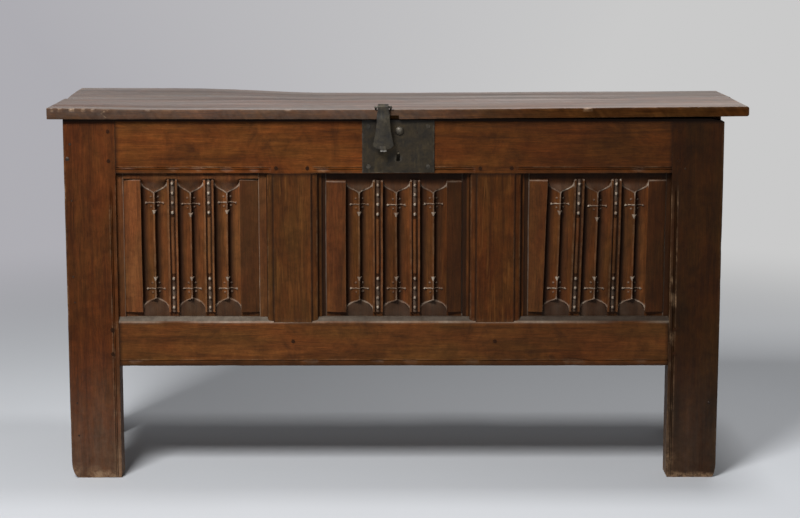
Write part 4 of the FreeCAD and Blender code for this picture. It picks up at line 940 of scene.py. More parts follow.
class Carving:
    """Heights, wear, dirt with painted shade, and dust with painted highlight of one linenfold panel, from
    its opening's lower left corner.
    """

    STUD_COUNT = 4
    STUD_RISE = 0.0038
    STUD_SINK = 0.0016
    BOWL = 2.25
    LOWEST = 0.26
    BERRIES = ((-0.0070, 0.0108), (0.0066, 0.0104), (-0.0064, -0.0078), (0.0070, -0.0070))
    STEM_RISE, BAR_RISE, KNOB_RISE, BERRY_RISE, BUD_RISE = 0.0012, 0.0022, 0.003, 0.0024, 0.0032
    BUD_ABOVE, BUD_BELOW, BUD_LENGTH = 0.0035, 0.0045, 0.0088
    BUD_HALF, BUD_TIP = 0.0043, 0.0005
    DROOP = 0.0014
    BARELY = 0.0001

    def __init__(self, fold, width, height, edges, lift, border, hem, crosses, buds):
        self.fold = fold
        self.width = width
        self.lift = lift
        self.border = border
        self.hem = hem
        self.crosses = crosses
        self.buds = buds
        self.low = fold.bottom_margin
        self.high = height - fold.top_margin + lift
        start, first, last, finish = edges
        last, finish = width - last, width - finish
        self.bay = (last - first - 2.0 * fold.rib) / 3.0
        self.bays = [first + count * (self.bay + fold.rib) for count in range(3)]
        self.ribs = [place + self.bay for place in self.bays[:2]]
        self.strips = ((start, first), (last, finish))

    def breaks(self):
        """Places across the panel where the relief steps."""
        fold = self.fold
        places = [edge for strip in self.strips for edge in strip]
        for start in self.ribs:
            for inset in (0.0, fold.fillet, fold.fillet + fold.quirk):
                places += [start + inset, start + fold.rib - inset]
        for start in self.bays:
            middle = start + self.bay / 2.0
            places += [middle - fold.ridge_width / 2.0, middle + fold.ridge_width / 2.0]
        return sorted(places)

    def ogee(self, inset):
        """Depth of a cup below the folds' end, at a distance in from the bay's side."""
        fold = self.fold
        part = min(1.0, max(0.0, inset / (self.bay / 2.0)))
        bowl = (1.0 - (1.0 - part) ** self.BOWL) ** (1.0 / self.BOWL)
        return (fold.cup + self.lift) * bowl + fold.tip * part ** 4

    def ends(self, up):
        """Distances from the folds' upper and lower ends."""
        return self.high - up, up - self.low

    def ground(self, upper):
        """The plain ground beyond the folds, with painted shade that is darker where it lies deeper and
        darkest in the top rail's painted shadow.
        """
        if upper > 0.0:
            return 0.0, 0.0, 0.4, 0.0
        rail = smooth(-upper, 0.004, 0.010)
        plain = 0.85 - 0.5 * smooth(self.border, 0.0, 0.008)
        return self.border, 0.0, plain + (0.95 - plain) * rail, 0.0

    def strip(self, across, up, strip, outer_first):
        """A plain strip at a panel's side, which rises towards the folds."""
        fold = self.fold
        part = (across - strip[0]) / (strip[1] - strip[0])
        if not outer_first:
            part = 1.0 - part
        tall = fold.strip_outer + (fold.strip_inner - fold.strip_outer) * part ** 0.8
        upper, lower = self.ends(up)
        if upper < 0.0 or lower < 0.0:
            return self.ground(upper)
        bevel = min(1.0, upper / 0.0035 + 0.12)
        pale = 0.3 * smooth(upper, 0.0008, 0.002) * (1.0 - smooth(upper, 0.0026, 0.0045))
        # The right strip, which faces away from the light, gets painted shade
        return tall * bevel, 0.2 * smooth(part, 0.95, 1.0), 0.0 if outer_first else 0.58, pale

    def rib(self, across, up, start):
        """A rib between two folds: fillets, sunk lines, and a bead with studs near its ends."""
        fold = self.fold
        upper, lower = self.ends(up)
        if upper < 0.0 or lower < 0.0:
            return self.ground(upper)
        inset = min(across - start, start + fold.rib - across)
        if inset < fold.fillet:
            bevel = min(1.0, upper / 0.003 + 0.15)
            return fold.rib_height * bevel, 0.2, 0.0, 0.5 * (1.0 - smooth(upper, 0.001, 0.004))
        if inset < fold.fillet + fold.quirk:
            return fold.quirk_height, 0.0, 0.85, 0.0
        half = fold.rib / 2.0 - fold.fillet - fold.quirk
        side = abs(across - start - fold.rib / 2.0)
        near = min(upper, lower)
        studded = fold.stud_pitch * self.STUD_COUNT
        bead = fold.quirk_height + fold.bead * dome(side, half)
        if near >= studded:
            return bead, 0.15 * dome(side, half), 0.0, 0.0
        stud = (math.floor(near / fold.stud_pitch) + 0.5) * fold.stud_pitch
        rise = dome(math.hypot(side, (near - stud) * 0.8), fold.stud)
        dust = 0.22 * (1.0 - smooth(near, 0.3 * studded, studded)) * (1.0 - smooth(rise, 0.0, 0.4))
        dirt_and_shade = 0.7 * (1.0 - smooth(rise, 0.0, 0.3))
        pale = max(dust, 1.1 * smooth(rise, 0.35, 0.9))
        return bead - self.STUD_SINK + self.STUD_RISE * rise, 0.0, dirt_and_shade, pale

    def fold_bay(self, across, up, start):
        """A fold: two hollows that rise to a ridge, between cups with raised hems."""
        fold = self.fold
        side = across - start - self.bay / 2.0
        inset = self.bay / 2.0 - abs(side)
        upper, lower = self.ends(up)
        near, top = (upper, True) if upper < lower else (lower, False)
        edge = self.ogee(inset)
        if near < edge:
            return self.cup(near, edge, top)
        run = self.bay / 2.0 - fold.ridge_width / 2.0
        part = min(1.0, max(0.0, inset / run))
        if side < 0.0:
            tall = self.cove(part, fold.edge, fold.ridge)
        else:
            tall = self.cove(1.0 - part, fold.ridge, fold.edge)
        pale = 0.0
        slope = (self.ogee(inset + 0.0005) - edge) / 0.0005
        off = (near - edge) / math.sqrt(1.0 + slope ** 2)
        if off < fold.hem:
            bump = dome(off - fold.hem * 0.4, fold.hem * 0.62)
            tall += fold.hem_rise * bump
            # A hem is pale with dust, and paler on the side that faces the light as painted highlight
            pale = (self.hem[side > 0.0] if top else 0.42) * bump
        level = near - self.lift if top else near
        tall, pale = self.ornament(side, level, top, tall, pale, self.bays.index(start))
        # Painted shade at the foot of the wall on each hollow's left, where that wall shades it from the
        # light
        foot = (part if side < 0.0 else 1.0 - part) * run
        crown = smooth(part, 0.97, 1.0)
        corner = (1.0 - smooth(foot, 0.0008, 0.0185)) * (1.0 - pale) * (1.0 - crown)
        return tall, 0.2 * crown, corner, pale

    def cup(self, near, edge, top):
        """The ground inside the cup that ends a fold, darkened with painted shade like the sunk ground."""
        if not top:
            return 0.0, 0.0, 0.72, 0.06
        deep = self.ground(-self.BARELY)[2]
        deep += (0.35 - deep) * smooth(near, 0.0, 0.014)
        return self.border * (1.0 - smooth(near, 0.0, edge)), 0.0, deep, 0.08 * smooth(near, 0.004, 0.014)

    def cove(self, part, left_rim, right_rim):
        """Height of a hollow, from its steep left wall to its slow rise on the right."""
        fold = self.fold
        if part < self.LOWEST:
            return left_rim - (left_rim - fold.hollow) * dome(1.0 - part / self.LOWEST, 1.0)
        rise = ((part - self.LOWEST) / (1.0 - self.LOWEST)) ** 1.8
        return fold.hollow + (right_rim - fold.hollow) * rise

    def ornament(self, side, near, top, tall, pale, index):
        """The stem, cross bar, berries and bud at a ridge's end."""
        fold = self.fold
        cross = fold.cross + (self.crosses[index] if top else 0.0)
        bud = fold.bud + (self.buds[index] if top else 0.0)
        # On the side that faces the light, bars and knobs are paler: dust with painted highlight
        lit = side < 0.0
        stem = dome(side, fold.bar * 1.25)
        if fold.cup + fold.tip < near < bud and stem > 0.0:
            tall = max(tall, fold.ridge + self.STEM_RISE * stem)
            pale = max(pale, (0.6 - 0.45 * smooth(near, 0.026, 0.038)) * smooth(stem, 0.3, 0.9))
        droop = self.DROOP * (abs(side) / fold.reach) ** 2
        level = near - cross - (droop if top else -droop)
        if abs(side) < fold.reach:
            bar = dome(level, fold.bar * (1.25 - 0.4 * abs(side) / fold.reach))
            tall += self.BAR_RISE * bar
            pale = max(pale, (0.7 if lit else 0.4) * smooth(bar, 0.2, 0.8))
        knob = dome(math.hypot(abs(side) - fold.reach, level), fold.berry)
        tall += self.KNOB_RISE * knob
        pale = max(pale, (0.95 if lit else 0.7) * smooth(knob, 0.2, 0.8))
        for over, rise in self.BERRIES:
            berry = dome(math.hypot(side - over, cross - near - (rise if top else -rise)), fold.berry)
            tall += self.BERRY_RISE * berry
            pale = max(pale, 0.25 * smooth(berry, 0.3, 0.9))
        drop = (near - bud) if top else (bud - near)
        if -self.BUD_ABOVE < drop < self.BUD_BELOW:
            half = self.BUD_HALF * (1.0 - (drop + self.BUD_ABOVE) / self.BUD_LENGTH) + self.BUD_TIP
            if abs(side) < half:
                swell = dome(side, half)
                tall = max(tall, fold.ridge * 0.72 + self.BUD_RISE * swell)
                pale = max(pale, 0.85 * smooth(swell, 0.15, 0.6))
        return tall, pale

    def at(self, across, up):
        """Height, wear, dirt with painted shade, and dust with painted highlight at a point."""
        for index, strip in enumerate(self.strips):
            if strip[0] <= across <= strip[1]:
                return self.strip(across, up, strip, index == 0)
        for start in self.ribs:
            if start <= across <= start + self.fold.rib:
                return self.rib(across, up, start)
        for start in self.bays:
            if start <= across <= start + self.bay:
                return self.fold_bay(across, up, start)
        tall, worn, dirt_and_shade, _ = self.ground(min(self.ends(up)[0], -self.BARELY))
        away = min(abs(across - self.strips[0][0]), abs(across - self.strips[1][1]))
        return 0.7 * tall, worn, dirt_and_shade, 0.3 * (1.0 - smooth(away, 0.0006, 0.002))


def rulings(start, end, breaks, cell, lip=0.00012):
    """Places for lines of points: even between breaks, and doubled on each break."""
    marks = [start, *breaks, end]
    lines = []
    for first, last in zip(marks, marks[1:]):
        first = first + (lip if first != start else 0.0)
        last = last - (lip if last != end else 0.0)
        count = max(1, round((last - first) / cell))
        lines += [first + (last - first) * step / count for step in range(count + 1)]
    return lines


class COFFER_OT_linenfold(bpy.types.Operator):
    """Carves the three linenfold panels of the front"""
    bl_idname = "coffer.linenfold"
    bl_label = "Linenfold panels"

    TONES = {"left": (1.29, 1.36, 1.95), "centre": (0.93, 0.91, 1.15), "right": (0.76, 0.74, 0.88)}
    # Each panel was set out by hand: its strips' edges, the lift and border of its upper ends, how pale its
    # hems are on a fold's left and right, the right paler as painted highlight, and the shifts of its upper
    # crosses and buds
    PLANS = {
        "left": {"edges": (0.0135, 0.047, 0.0435, 0.008), "lift": 0.0035, "border": 0.0085,
                 "hem": (0.65, 0.8), "crosses": (-0.0034, -0.0011, -0.004),
                 "buds": (-0.0054, 0.0007, -0.0054)},
        "centre": {"edges": (0.008, 0.046, 0.0365, 0.008), "lift": 0.0, "border": 0.0,
                   "hem": (0.45, 0.8), "crosses": (0.0, 0.001, -0.001),
                   "buds": (-0.0013, 0.0005, -0.001)},
        "right": {"edges": (0.008, 0.0435, 0.0435, 0.010), "lift": 0.002, "border": 0.002,
                  "hem": (0.28, 0.8), "crosses": (-0.001, 0.003, 0.0015),
                  "buds": (-0.0033, 0.009, 0.004)},
    }
    CREASE = 42.0

    def execute(self, context):
        fold = context.scene.coffer_fold
        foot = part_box("front_bottom_rail")[1].z
        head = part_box("front_top_rail")[0].z
        for seed, (bay, (left, right)) in enumerate(self.openings().items()):
            node = f"front_{bay}_panel"
            low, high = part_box(node)
            carving = Carving(fold, right - left, head - foot, **self.PLANS[bay])
            across = rulings(low.x - left, high.x - left, carving.breaks(), fold.cell)
            lower_end = carving.low + fold.end_zone
            upper_end = carving.high - fold.end_zone
            up = rulings(low.z - foot, lower_end, [carving.low], fold.cell)
            up += rulings(lower_end, upper_end, [], fold.plain_cell)[1:-1]
            up += rulings(upper_end, high.z - foot, [carving.high], fold.cell)
            bm = self.carve(carving, across, up, left, foot, bay == "right", seed)
            self.close(bm, high.y)
            aged_timber(node, bm, "oak_carved", "z", self.TONES[bay], 21.0 + seed, crease=self.CREASE,
                        flecks=0.15, stains=0.4)
        return {"FINISHED"}

    def openings(self):
        """Left and right edges of the three openings."""
        edges = [stile_edge("left")]
        for side in SIDES:
            edges += [corner.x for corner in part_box(f"front_{side}_muntin")]
        edges.append(stile_edge("right"))
        return dict(zip(BAYS, zip(edges[::2], edges[1::2])))

    def lean(self, carving, across, up):
        """Sideways shift of the right panel's folds, which were set out by eye."""
        fold = carving.fold
        (start, first), (last, finish) = carving.strips
        full = fold.lean_first + (fold.lean_last - fold.lean_first) * smooth(across, first, last)
        full *= smooth(across, start, first) * (1.0 - 0.6 * smooth(across, last, carving.width))
        return -full * (1.0 - smooth(across, finish, carving.width)) * (1.0 - up / carving.high)

    def carve(self, carving, across, up, left, foot, leans, seed):
        """A grid whose points take the carving's heights and notes."""
        bm = new_mesh(*NOTES)
        noted = layers(bm, *NOTES)
        columns, rows = len(across) - 1, len(up) - 1
        bmesh.ops.create_grid(bm, x_segments=columns, y_segments=rows, size=0.5)
        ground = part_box("lock_plate")[1].y + PANEL_RECESS
        for vert in bm.verts:
            side = across[round((vert.co.x + 0.5) * columns)]
            rise = up[round((vert.co.y + 0.5) * rows)]
            tall, *values = carving.at(side, rise)
            shift = self.lean(carving, side, rise) if leans else 0.0
            place = Vector((left + side + shift, ground - tall, foot + rise))
            wander = 0.00035 * noise.noise(place * 30.0 + Vector((seed, 3.0, 7.0)))
            wander += 0.0005 * noise.noise(place * 9.0 + Vector((seed, 5.0, 1.0)))
            place.y -= wander * smooth(tall, 0.0, 0.002)
            place.x += 0.0007 * noise.noise(place * 11.0 + Vector((seed, 9.0, 2.0)))
            rubbed = 0.62 + 0.7 * noise.noise(place * 45.0 + Vector((2.0, seed, 0.0)))
            vert.co = place
            for layer, value, change in zip(noted, values, (rubbed, 1.0, 0.35 + 0.75 * rubbed)):
                vert[layer] = min(1.0, max(0.0, value * change))
        return bm

    def close(self, bm, back):
        """Gives the carved face its thickness."""
        rim = [edge for edge in bm.edges if edge.is_boundary]
        drawn = bmesh.ops.extrude_edge_only(bm, edges=rim)
        for item in drawn["geom"]:
            if isinstance(item, bmesh.types.BMVert):
                item.co.y = back
        bmesh.ops.holes_fill(bm, edges=[edge for edge in bm.edges if edge.is_boundary], sides=0)
        bmesh.ops.recalc_face_normals(bm, faces=bm.faces[:])


class COFFER_OT_boards(bpy.types.Operator):
    """Models the plain panels of the back and ends and the floor boards"""
    bl_idname = "coffer.boards"
    bl_label = "Plain panels and floor"

    FLOOR_BOARDS = 5
    PANEL_TONE, FLOOR_TONE = (0.95, 0.95, 0.95), (1.0, 1.0, 1.0)

    def execute(self, context):
        wear = context.scene.coffer_timber
        nodes = [f"rear_{bay}_panel" for bay in BAYS] + [f"{side}_end_panel" for side in SIDES]
        for seed, node in enumerate(nodes):
            low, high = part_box(node)
            outline = block((low.x, low.y), (high.x, high.y), (wear.joint_arris,) * 4)
            bm = timber("z", outline, low.z, high.z)
            weather(bm, 50.0 + seed, sway=0.0008, chip=0.0)
            aged_timber(node, bm, "oak_plain", "z", self.PANEL_TONE, 30.0 + seed, flecks=0.3, stains=0.6)
        for count in range(1, self.FLOOR_BOARDS + 1):
            node = f"floor_board_{count}"
            low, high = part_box(node)
            outline = block((low.x, low.z), (high.x, high.z), (wear.joint_arris * 1.6,) * 4)
            bm = timber("y", outline, low.y, high.y)
            weather(bm, 60.0 + count, chip=0.001)
            aged_timber(node, bm, "oak_floor", "y", self.FLOOR_TONE, 40.0 + count, dry=0.6)
        return {"FINISHED"}


def islands(node):
    """Boxes of the separate solids in a CAD node."""
    bm = bmesh.new()
    bm.from_mesh(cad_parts[node].data)
    bmesh.ops.remove_doubles(bm, verts=bm.verts[:], dist=WELD)
    left = set(bm.verts)
    boxes = []
    while left:
        found = [left.pop()]
        for vert in found:
            for edge in vert.link_edges:
                other = edge.other_vert(vert)
                if other in left:
                    left.remove(other)
                    found.append(other)
        rows = list(zip(*(vert.co for vert in found)))
        boxes.append((Vector([min(row) for row in rows]), Vector([max(row) for row in rows])))
    bm.free()
    return sorted(boxes, key=lambda box: tuple(box[0]))


class COFFER_OT_pegs(bpy.types.Operator):
    """Cuts the faceted oak pegs that pin the joints"""
    bl_idname = "coffer.pegs"
    bl_label = "Pegs"

    FACETS = 9
    PEG_TONE, NAIL_TONE = (0.68, 0.64, 0.64), (1.0, 0.7, 0.6)
    PEG_GRIME = 0.75
    PEG_CREASE = 30.0
    HEAD_RISE = 0.0009
    HEAD_TAPER = 0.55
    HEAD_RAGGED = 0.0007
    HEAD_CREASE = 50.0
    # Nail heads: distance in from the stile's or plate's outer edge, height and radius
    LEFT_NAILS = ((0.0075, 0.629, 0.0056), (0.013, 0.657, 0.0032), (0.014, 0.548, 0.0024),
                  (0.013, 0.400, 0.0026), (0.015, 0.350, 0.0022), (0.014, 0.150, 0.0026),
                  (0.016, 0.085, 0.0024))
    RIGHT_NAILS = ((0.017, 0.150, 0.0032), (0.074, 0.610, 0.0022))
    PLATE_NAILS = ((0.105, 0.6795, 0.0021),)

    def execute(self, context):
        finish = oak("oak_pegs", "y", self.PEG_TONE, 51.0)
        for node, axis in (("front_frame_pegs", 1), ("rear_frame_pegs", 1), ("end_frame_pegs", 0)):
            bm = new_mesh("worn", "dirt_and_shade")
            (dirt_and_shade,) = layers(bm, "dirt_and_shade")
            for low, high in islands(node):
                self.peg(bm, low, high, axis)
            for vert in bm.verts:
                vert[dirt_and_shade] = self.PEG_GRIME
            aged(node, bm, finish, crease=self.PEG_CREASE)
        dress("lid_dowels", finish)
        self.old_nails()
        return {"FINISHED"}

    def old_nails(self):
        """Heads of nails that were driven into the front long ago."""
        bm = new_mesh("worn")
        left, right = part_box("front_left_stile"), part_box("front_right_stile")
        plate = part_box("lock_plate")
        heads = [(left[0].x + inset, left[0].y, rise, radius) for inset, rise, radius in self.LEFT_NAILS]
        heads += [(right[1].x - inset, right[0].y, rise, radius) for inset, rise, radius in self.RIGHT_NAILS]
        heads += [(plate[0].x + inset, plate[0].y, rise, radius) for inset, rise, radius in self.PLATE_NAILS]
        for across, face, rise, radius in heads:
            turn = Matrix.Translation((across, face, rise)) @ Matrix.Rotation(math.pi / 2.0, 4, "X")
            made = bmesh.ops.create_cone(bm, cap_ends=True, segments=self.FACETS, radius1=radius,
                                         radius2=radius * self.HEAD_TAPER, depth=self.HEAD_RISE * 2.0,
                                         matrix=turn)
            for vert in made["verts"]:
                vert.co.x += self.HEAD_RAGGED * noise.noise(vert.co * 420.0)
                vert.co.z += self.HEAD_RAGGED * noise.noise(vert.co * 380.0 + Vector((3.0, 0.0, 0.0)))
        piece("old_nails", bm, "case", [], iron("iron_old_nails", 0.0, self.NAIL_TONE),
              self.HEAD_CREASE)

    def peg(self, bm, low, high, axis):
        """One peg, drawn as a stick with uneven facets."""
        middle = (low + high) / 2.0
        radius = (high[2] - low[2]) / 2.0
        turn = Matrix.Rotation(math.pi / 2.0, 4, "X" if axis == 1 else "Y")
        spin = Matrix.Rotation(noise.noise(middle * 90.0) * 3.0, 4, "Z")
        made = bmesh.ops.create_cone(bm, cap_ends=True, segments=self.FACETS, radius1=radius, radius2=radius,
                                     depth=high[axis] - low[axis],
                                     matrix=Matrix.Translation(middle) @ turn @ spin)
        for vert in made["verts"]:
            away = vert.co - middle
            uneven = min(1.0, 0.9 + 0.16 * noise.noise(vert.co * 310.0))
            for other in range(3):
                if other != axis:
                    vert.co[other] = middle[other] + away[other] * uneven


class COFFER_OT_lid(bpy.types.Operator):
    """Models the two warped boards of the lid"""
    bl_idname = "coffer.lid"
    bl_label = "Lid"

    FRONT_TONE, REAR_TONE = (0.78, 0.82, 0.98), (0.62, 0.74, 1.08)
    LOOKS = {"flecks": 0.2, "polished": 0.9, "cracks": 0.35}
    FRONT_STATION = 0.0016
    WARP = 0.010
    WARP_RUN = 0.300
    SWELL_START = 0.13
    SWELL_END = 0.47
    RIGHT_LIFT = 0.0055
    # Share of the lid top's grey: dust and painted sheen
    TOP_DUST_AND_SHEEN = 0.2
    EDGE_DUST = 0.085
    NOTCH_LEFT = -0.0150
    NOTCH_RIGHT = 0.0020
    NOTCH_HEIGHT = 0.007
    NOTCH_DEPTH = 0.012
    NOTCH_WALL = 0.0003
    LEFT_LIFT = 0.0028
    LEFT_RUN = 0.2
    CUT_BACK = 0.008
    CUT_RUN = 0.1
    END_ROUND = 0.004
    RIM = 0.0016
    # Chips in the front edge: middle, half width and depth
    CHIPS = ((-0.658, 0.004, 0.002), (-0.643, 0.006, 0.0025), (-0.620, 0.007, 0.002),
             (-0.598, 0.005, 0.002), (-0.580, 0.005, 0.0025), (-0.476, 0.006, 0.0015),
             (-0.21, 0.008, 0.0012), (0.36, 0.012, 0.0015))
    # Corners of the crooked chip: distance below the top, and place along the lid
    CRACK = ((0.0, -0.552), (0.0065, -0.564), (0.0145, -0.556))
    CRACK_HALF = 0.0022
    CRACK_DEPTH = 0.0012

    def execute(self, context):
        wear = context.scene.coffer_timber
        self.front_board(wear)
        self.rear_board(wear)
        return {"FINISHED"}

    def front_board(self, wear):
        """The front board, with the notch for the hasp and a chipped edge."""
        node = "lid_front_board"
        low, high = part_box(node)
        soft, small = wear.arris * 0.6, wear.joint_arris * 2.0
        outline = [(low.y, low.z, soft * 0.6), (low.y + self.NOTCH_DEPTH, low.z, 0.0), (high.y, low.z, small),
                   (high.y, high.z, small), (low.y, high.z, soft)]
        bm = timber("x", outline, low.x, high.x, self.FRONT_STATION)
        cut(bm, "z", [high.z - self.FRONT_STATION * step for step in range(3, 11)])
        ends = (self.NOTCH_LEFT, self.NOTCH_RIGHT)
        cut(bm, "x", [place + step for place in ends for step in (-self.NOTCH_WALL, self.NOTCH_WALL)])
        for vert in bm.verts:
            if ends[0] < vert.co.x < ends[1] and vert.co.y < low.y + self.NOTCH_DEPTH - 1e-4:
                part = (vert.co.z - low.z) / (high.z - low.z)
                vert.co.z += self.NOTCH_HEIGHT * (1.0 - part)
        self.round_ends(bm, low, high)
        middle = (low.z + high.z) / 2.0
        for vert in bm.verts:
            over = max(0.0, vert.co.x - high.x + self.END_ROUND)
            drop = self.END_ROUND * (1.0 - dome(over, self.END_ROUND))
            vert.co.z -= drop * (vert.co.z - middle) / (high.z - middle)
            vert.co.z += self.RIGHT_LIFT * max(0.0, vert.co.x / high.x)
            part = (vert.co.z - low.z) / (high.z - low.z)
            vert.co.z += self.LEFT_LIFT * part * smooth(low.x + self.LEFT_RUN - vert.co.x, 0.0, self.LEFT_RUN)
        weather(bm, 70.0, sway=0.0007, chip=0.0016, rub=0.45)
        self.chip(bm, low, high)
        self.fade(bm)
        dirt_and_shade, dust_and_highlight = layers(bm, "dirt_and_shade", "dust_and_highlight")
        for vert in bm.verts:
            edge = 1.0 - smooth(vert.co.y - low.y, 0.0008, 0.003)
            sawn = noise.noise(Vector(((vert.co.x + 0.9 * vert.co.z) * 115.0, 0.0, 5.0)))
            vert[dirt_and_shade] = edge * max(0.0, 0.28 + 0.3 * noise.noise(vert.co * 26.0) + 0.3 * sawn)
            vert[dust_and_highlight] += self.EDGE_DUST * edge * (1.0 - smooth(vert.co.x, -0.1, 0.35))
        darken(bm, "y", (high.y,), 0.003)
        aged_timber(node, bm, "oak_lid", "x", self.FRONT_TONE, 61.0, "lid", stains=0.5, **self.LOOKS)

    def rear_board(self, wear):
        """The rear board, lifted at its left rear corner."""
        node = "lid_rear_board"
        low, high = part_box(node)
        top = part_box("lid_front_board")[1].z
        soft, small = wear.arris, wear.joint_arris * 2.0
        bm = timber("x", block((low.y, low.z), (high.y, top), (small, soft, soft, small)), low.x, high.x)
        for vert in bm.verts:
            near = max(0.0, 1.0 - (vert.co.x - low.x) / self.WARP_RUN)
            back = (vert.co.y - low.y) / (high.y - low.y)
            under = self.WARP * near ** 2
            upper = self.WARP * smooth(-vert.co.x, self.SWELL_START, self.SWELL_END)
            rise = (vert.co.z - low.z) / (top - low.z)
            vert.co.z += back * (under + (upper - under) * rise)
            vert.co.z += self.RIGHT_LIFT * max(0.0, vert.co.x / high.x) * (1.0 - 0.35 * back)
        self.round_ends(bm, low, high)
        for vert in bm.verts:
            back = (vert.co.y - low.y) / (high.y - low.y)
            left = smooth(low.x + self.CUT_RUN - vert.co.x, 0.0, self.CUT_RUN)
            vert.co.x += self.CUT_BACK * left * (0.4 * back + 0.6 * back ** 4)
        weather(bm, 74.0, sway=0.0007, chip=0.002, rub=0.4)
        self.fade(bm)
        darken(bm, "y", (low.y,), 0.003)
        aged_timber(node, bm, "oak_lid", "x", self.REAR_TONE, 66.0, "lid", stains=0.6, **self.LOOKS)

    def fade(self, bm):
        """Notes the dry, grey top of the lid, dust with painted sheen, and the bare wood of its sides."""
        bare = bm.verts.layers.float.new("bare")
        (dust_and_highlight,) = layers(bm, "dust_and_highlight")
        for vert in bm.verts:
            vert[bare] = 1.0 - smooth(vert.normal.z, 0.5, 0.9)
            streak = 1.0 + 1.5 * noise.noise(Vector((vert.co.x * 2.2, vert.co.y * 26.0, 3.0)))
            vert[dust_and_highlight] = self.TOP_DUST_AND_SHEEN * max(0.0, streak) * smooth(vert.normal.z, 0.8, 0.97)

    def round_ends(self, bm, low, high):
        """Softens the end grain's edges."""
        rim = [edge for edge in bm.edges if edge.is_manifold and edge.calc_face_angle(0.0) > 0.8
               and abs(edge.verts[0].co.x - edge.verts[1].co.x) < WELD
               and min(abs(edge.verts[0].co.x - low.x), abs(edge.verts[0].co.x - high.x)) < 1e-4]
        bmesh.ops.bevel(bm, geom=rim, offset=self.RIM, offset_type="OFFSET", affect="EDGES", segments=2,
                        profile=0.5, material=-1, clamp_overlap=True)

    def chip(self, bm, low, high):
        """Breaks splinters out of the front top edge, and one crooked chip near the left end."""
        (worn,) = layers(bm, "worn")
        for vert in bm.verts:
            front = 1.0 - smooth(vert.co.y - low.y, 0.001, 0.007)
            if front == 0.0:
                continue
            upper = smooth(vert.co.z, high.z - 0.005, high.z - 0.001)
            ragged = 0.75 + 0.9 * noise.noise(vert.co * 240.0)
            for middle, half, deep in self.CHIPS:
                part = 1.0 - abs(vert.co.x - middle) / half
                if part > 0.0:
                    bite = deep * smooth(part, 0.0, 0.7) * front * upper
                    vert.co.z -= bite * 0.7
                    vert.co.y += bite * 0.6
                    pale = smooth(part, 0.0, 0.5) * front * upper * ragged
                    vert[worn] = min(1.0, max(vert[worn], pale))
            crack = self.crack(high.z - vert.co.z)
            split = (1.0 - smooth(abs(vert.co.x - crack), 0.3 * self.CRACK_HALF, self.CRACK_HALF)) * front
            vert.co.y += self.CRACK_DEPTH * split
            vert[worn] = min(1.0, max(vert[worn], split * ragged))

    def crack(self, drop):
        """Place of the crooked chip at a distance below the lid's top, or far off the lid."""
        for (first, start), (last, end) in zip(self.CRACK, self.CRACK[1:]):
            if first <= drop <= last:
                return start + (end - start) * (drop - first) / (last - first)
        return -1.0


# ironwork

# Bends, in radians: below the first, faces are one; above the second, an edge is softened
FLAT_BEND, SHARP_BEND = 0.03, 0.7
# Bends at which an iron edge starts to be rubbed and is fully rubbed
RUBBED_BEND = (0.2, 0.7)
HAMMER_SCALE = 75.0


def forged(node, bevel=None, dent=0.0, grid=None, seed=0.0):
    """A copy of a CAD node's mesh with softened edges and hammer marks."""
    finish = bpy.context.scene.coffer_iron
    bm = bmesh.new()
    bm.from_mesh(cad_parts[node].data)
    worn = bm.verts.layers.float.new("worn")
    bmesh.ops.remove_doubles(bm, verts=bm.verts[:], dist=WELD)
    bmesh.ops.dissolve_limit(bm, angle_limit=FLAT_BEND, verts=bm.verts[:], edges=bm.edges[:])
    sharp = [edge for edge in bm.edges if edge.is_manifold and edge.calc_face_angle(0.0) > SHARP_BEND]
    bmesh.ops.bevel(bm, geom=sharp, offset=finish.bevel if bevel is None else bevel, affect="EDGES",
                    segments=2, profile=0.5, material=-1, clamp_overlap=True)
    for axis, pitch in (grid or {}).items():
        places = [vert.co[AXES.index(axis)] for vert in bm.verts]
        first, last = min(places), max(places)
        count = int((last - first) / pitch)
        cut(bm, axis, [first + (last - first) * (step + 0.5) / count for step in range(count)])
    bm.normal_update()
    moves = []
    for vert in bm.verts:
        vert[worn] = 0.4 * smooth(bend_at(vert), *RUBBED_BEND) * max(0.0, 0.5 + noise.noise(vert.co * 70.0))
        mark = noise.noise(vert.co * HAMMER_SCALE + Vector((seed, 0.0, 0.0)))
        moves.append((vert, vert.normal * dent * mark))
    push(moves)
    return bm


class COFFER_OT_hinges(bpy.types.Operator):
    """Finishes the strap hinges and their nails"""
    bl_idname = "coffer.hinges"
    bl_label = "Hinges"

    PARTS = (("strap", "lid"), ("leaf", "case"), ("pin", "case"))
    NAILS = (("strap_nails", "lid"), ("leaf_nails", "case"))
    NAIL_BEVEL = 0.0003

    def execute(self, context):
        finish = iron("iron_hinges")
        for side in SIDES:
            for part, body in self.PARTS:
                node = f"{side}_hinge_{part}"
                aged(node, forged(node), finish, body)
        for node, body in self.NAILS:
            aged(node, forged(node, self.NAIL_BEVEL), finish, body)
        return {"FINISHED"}


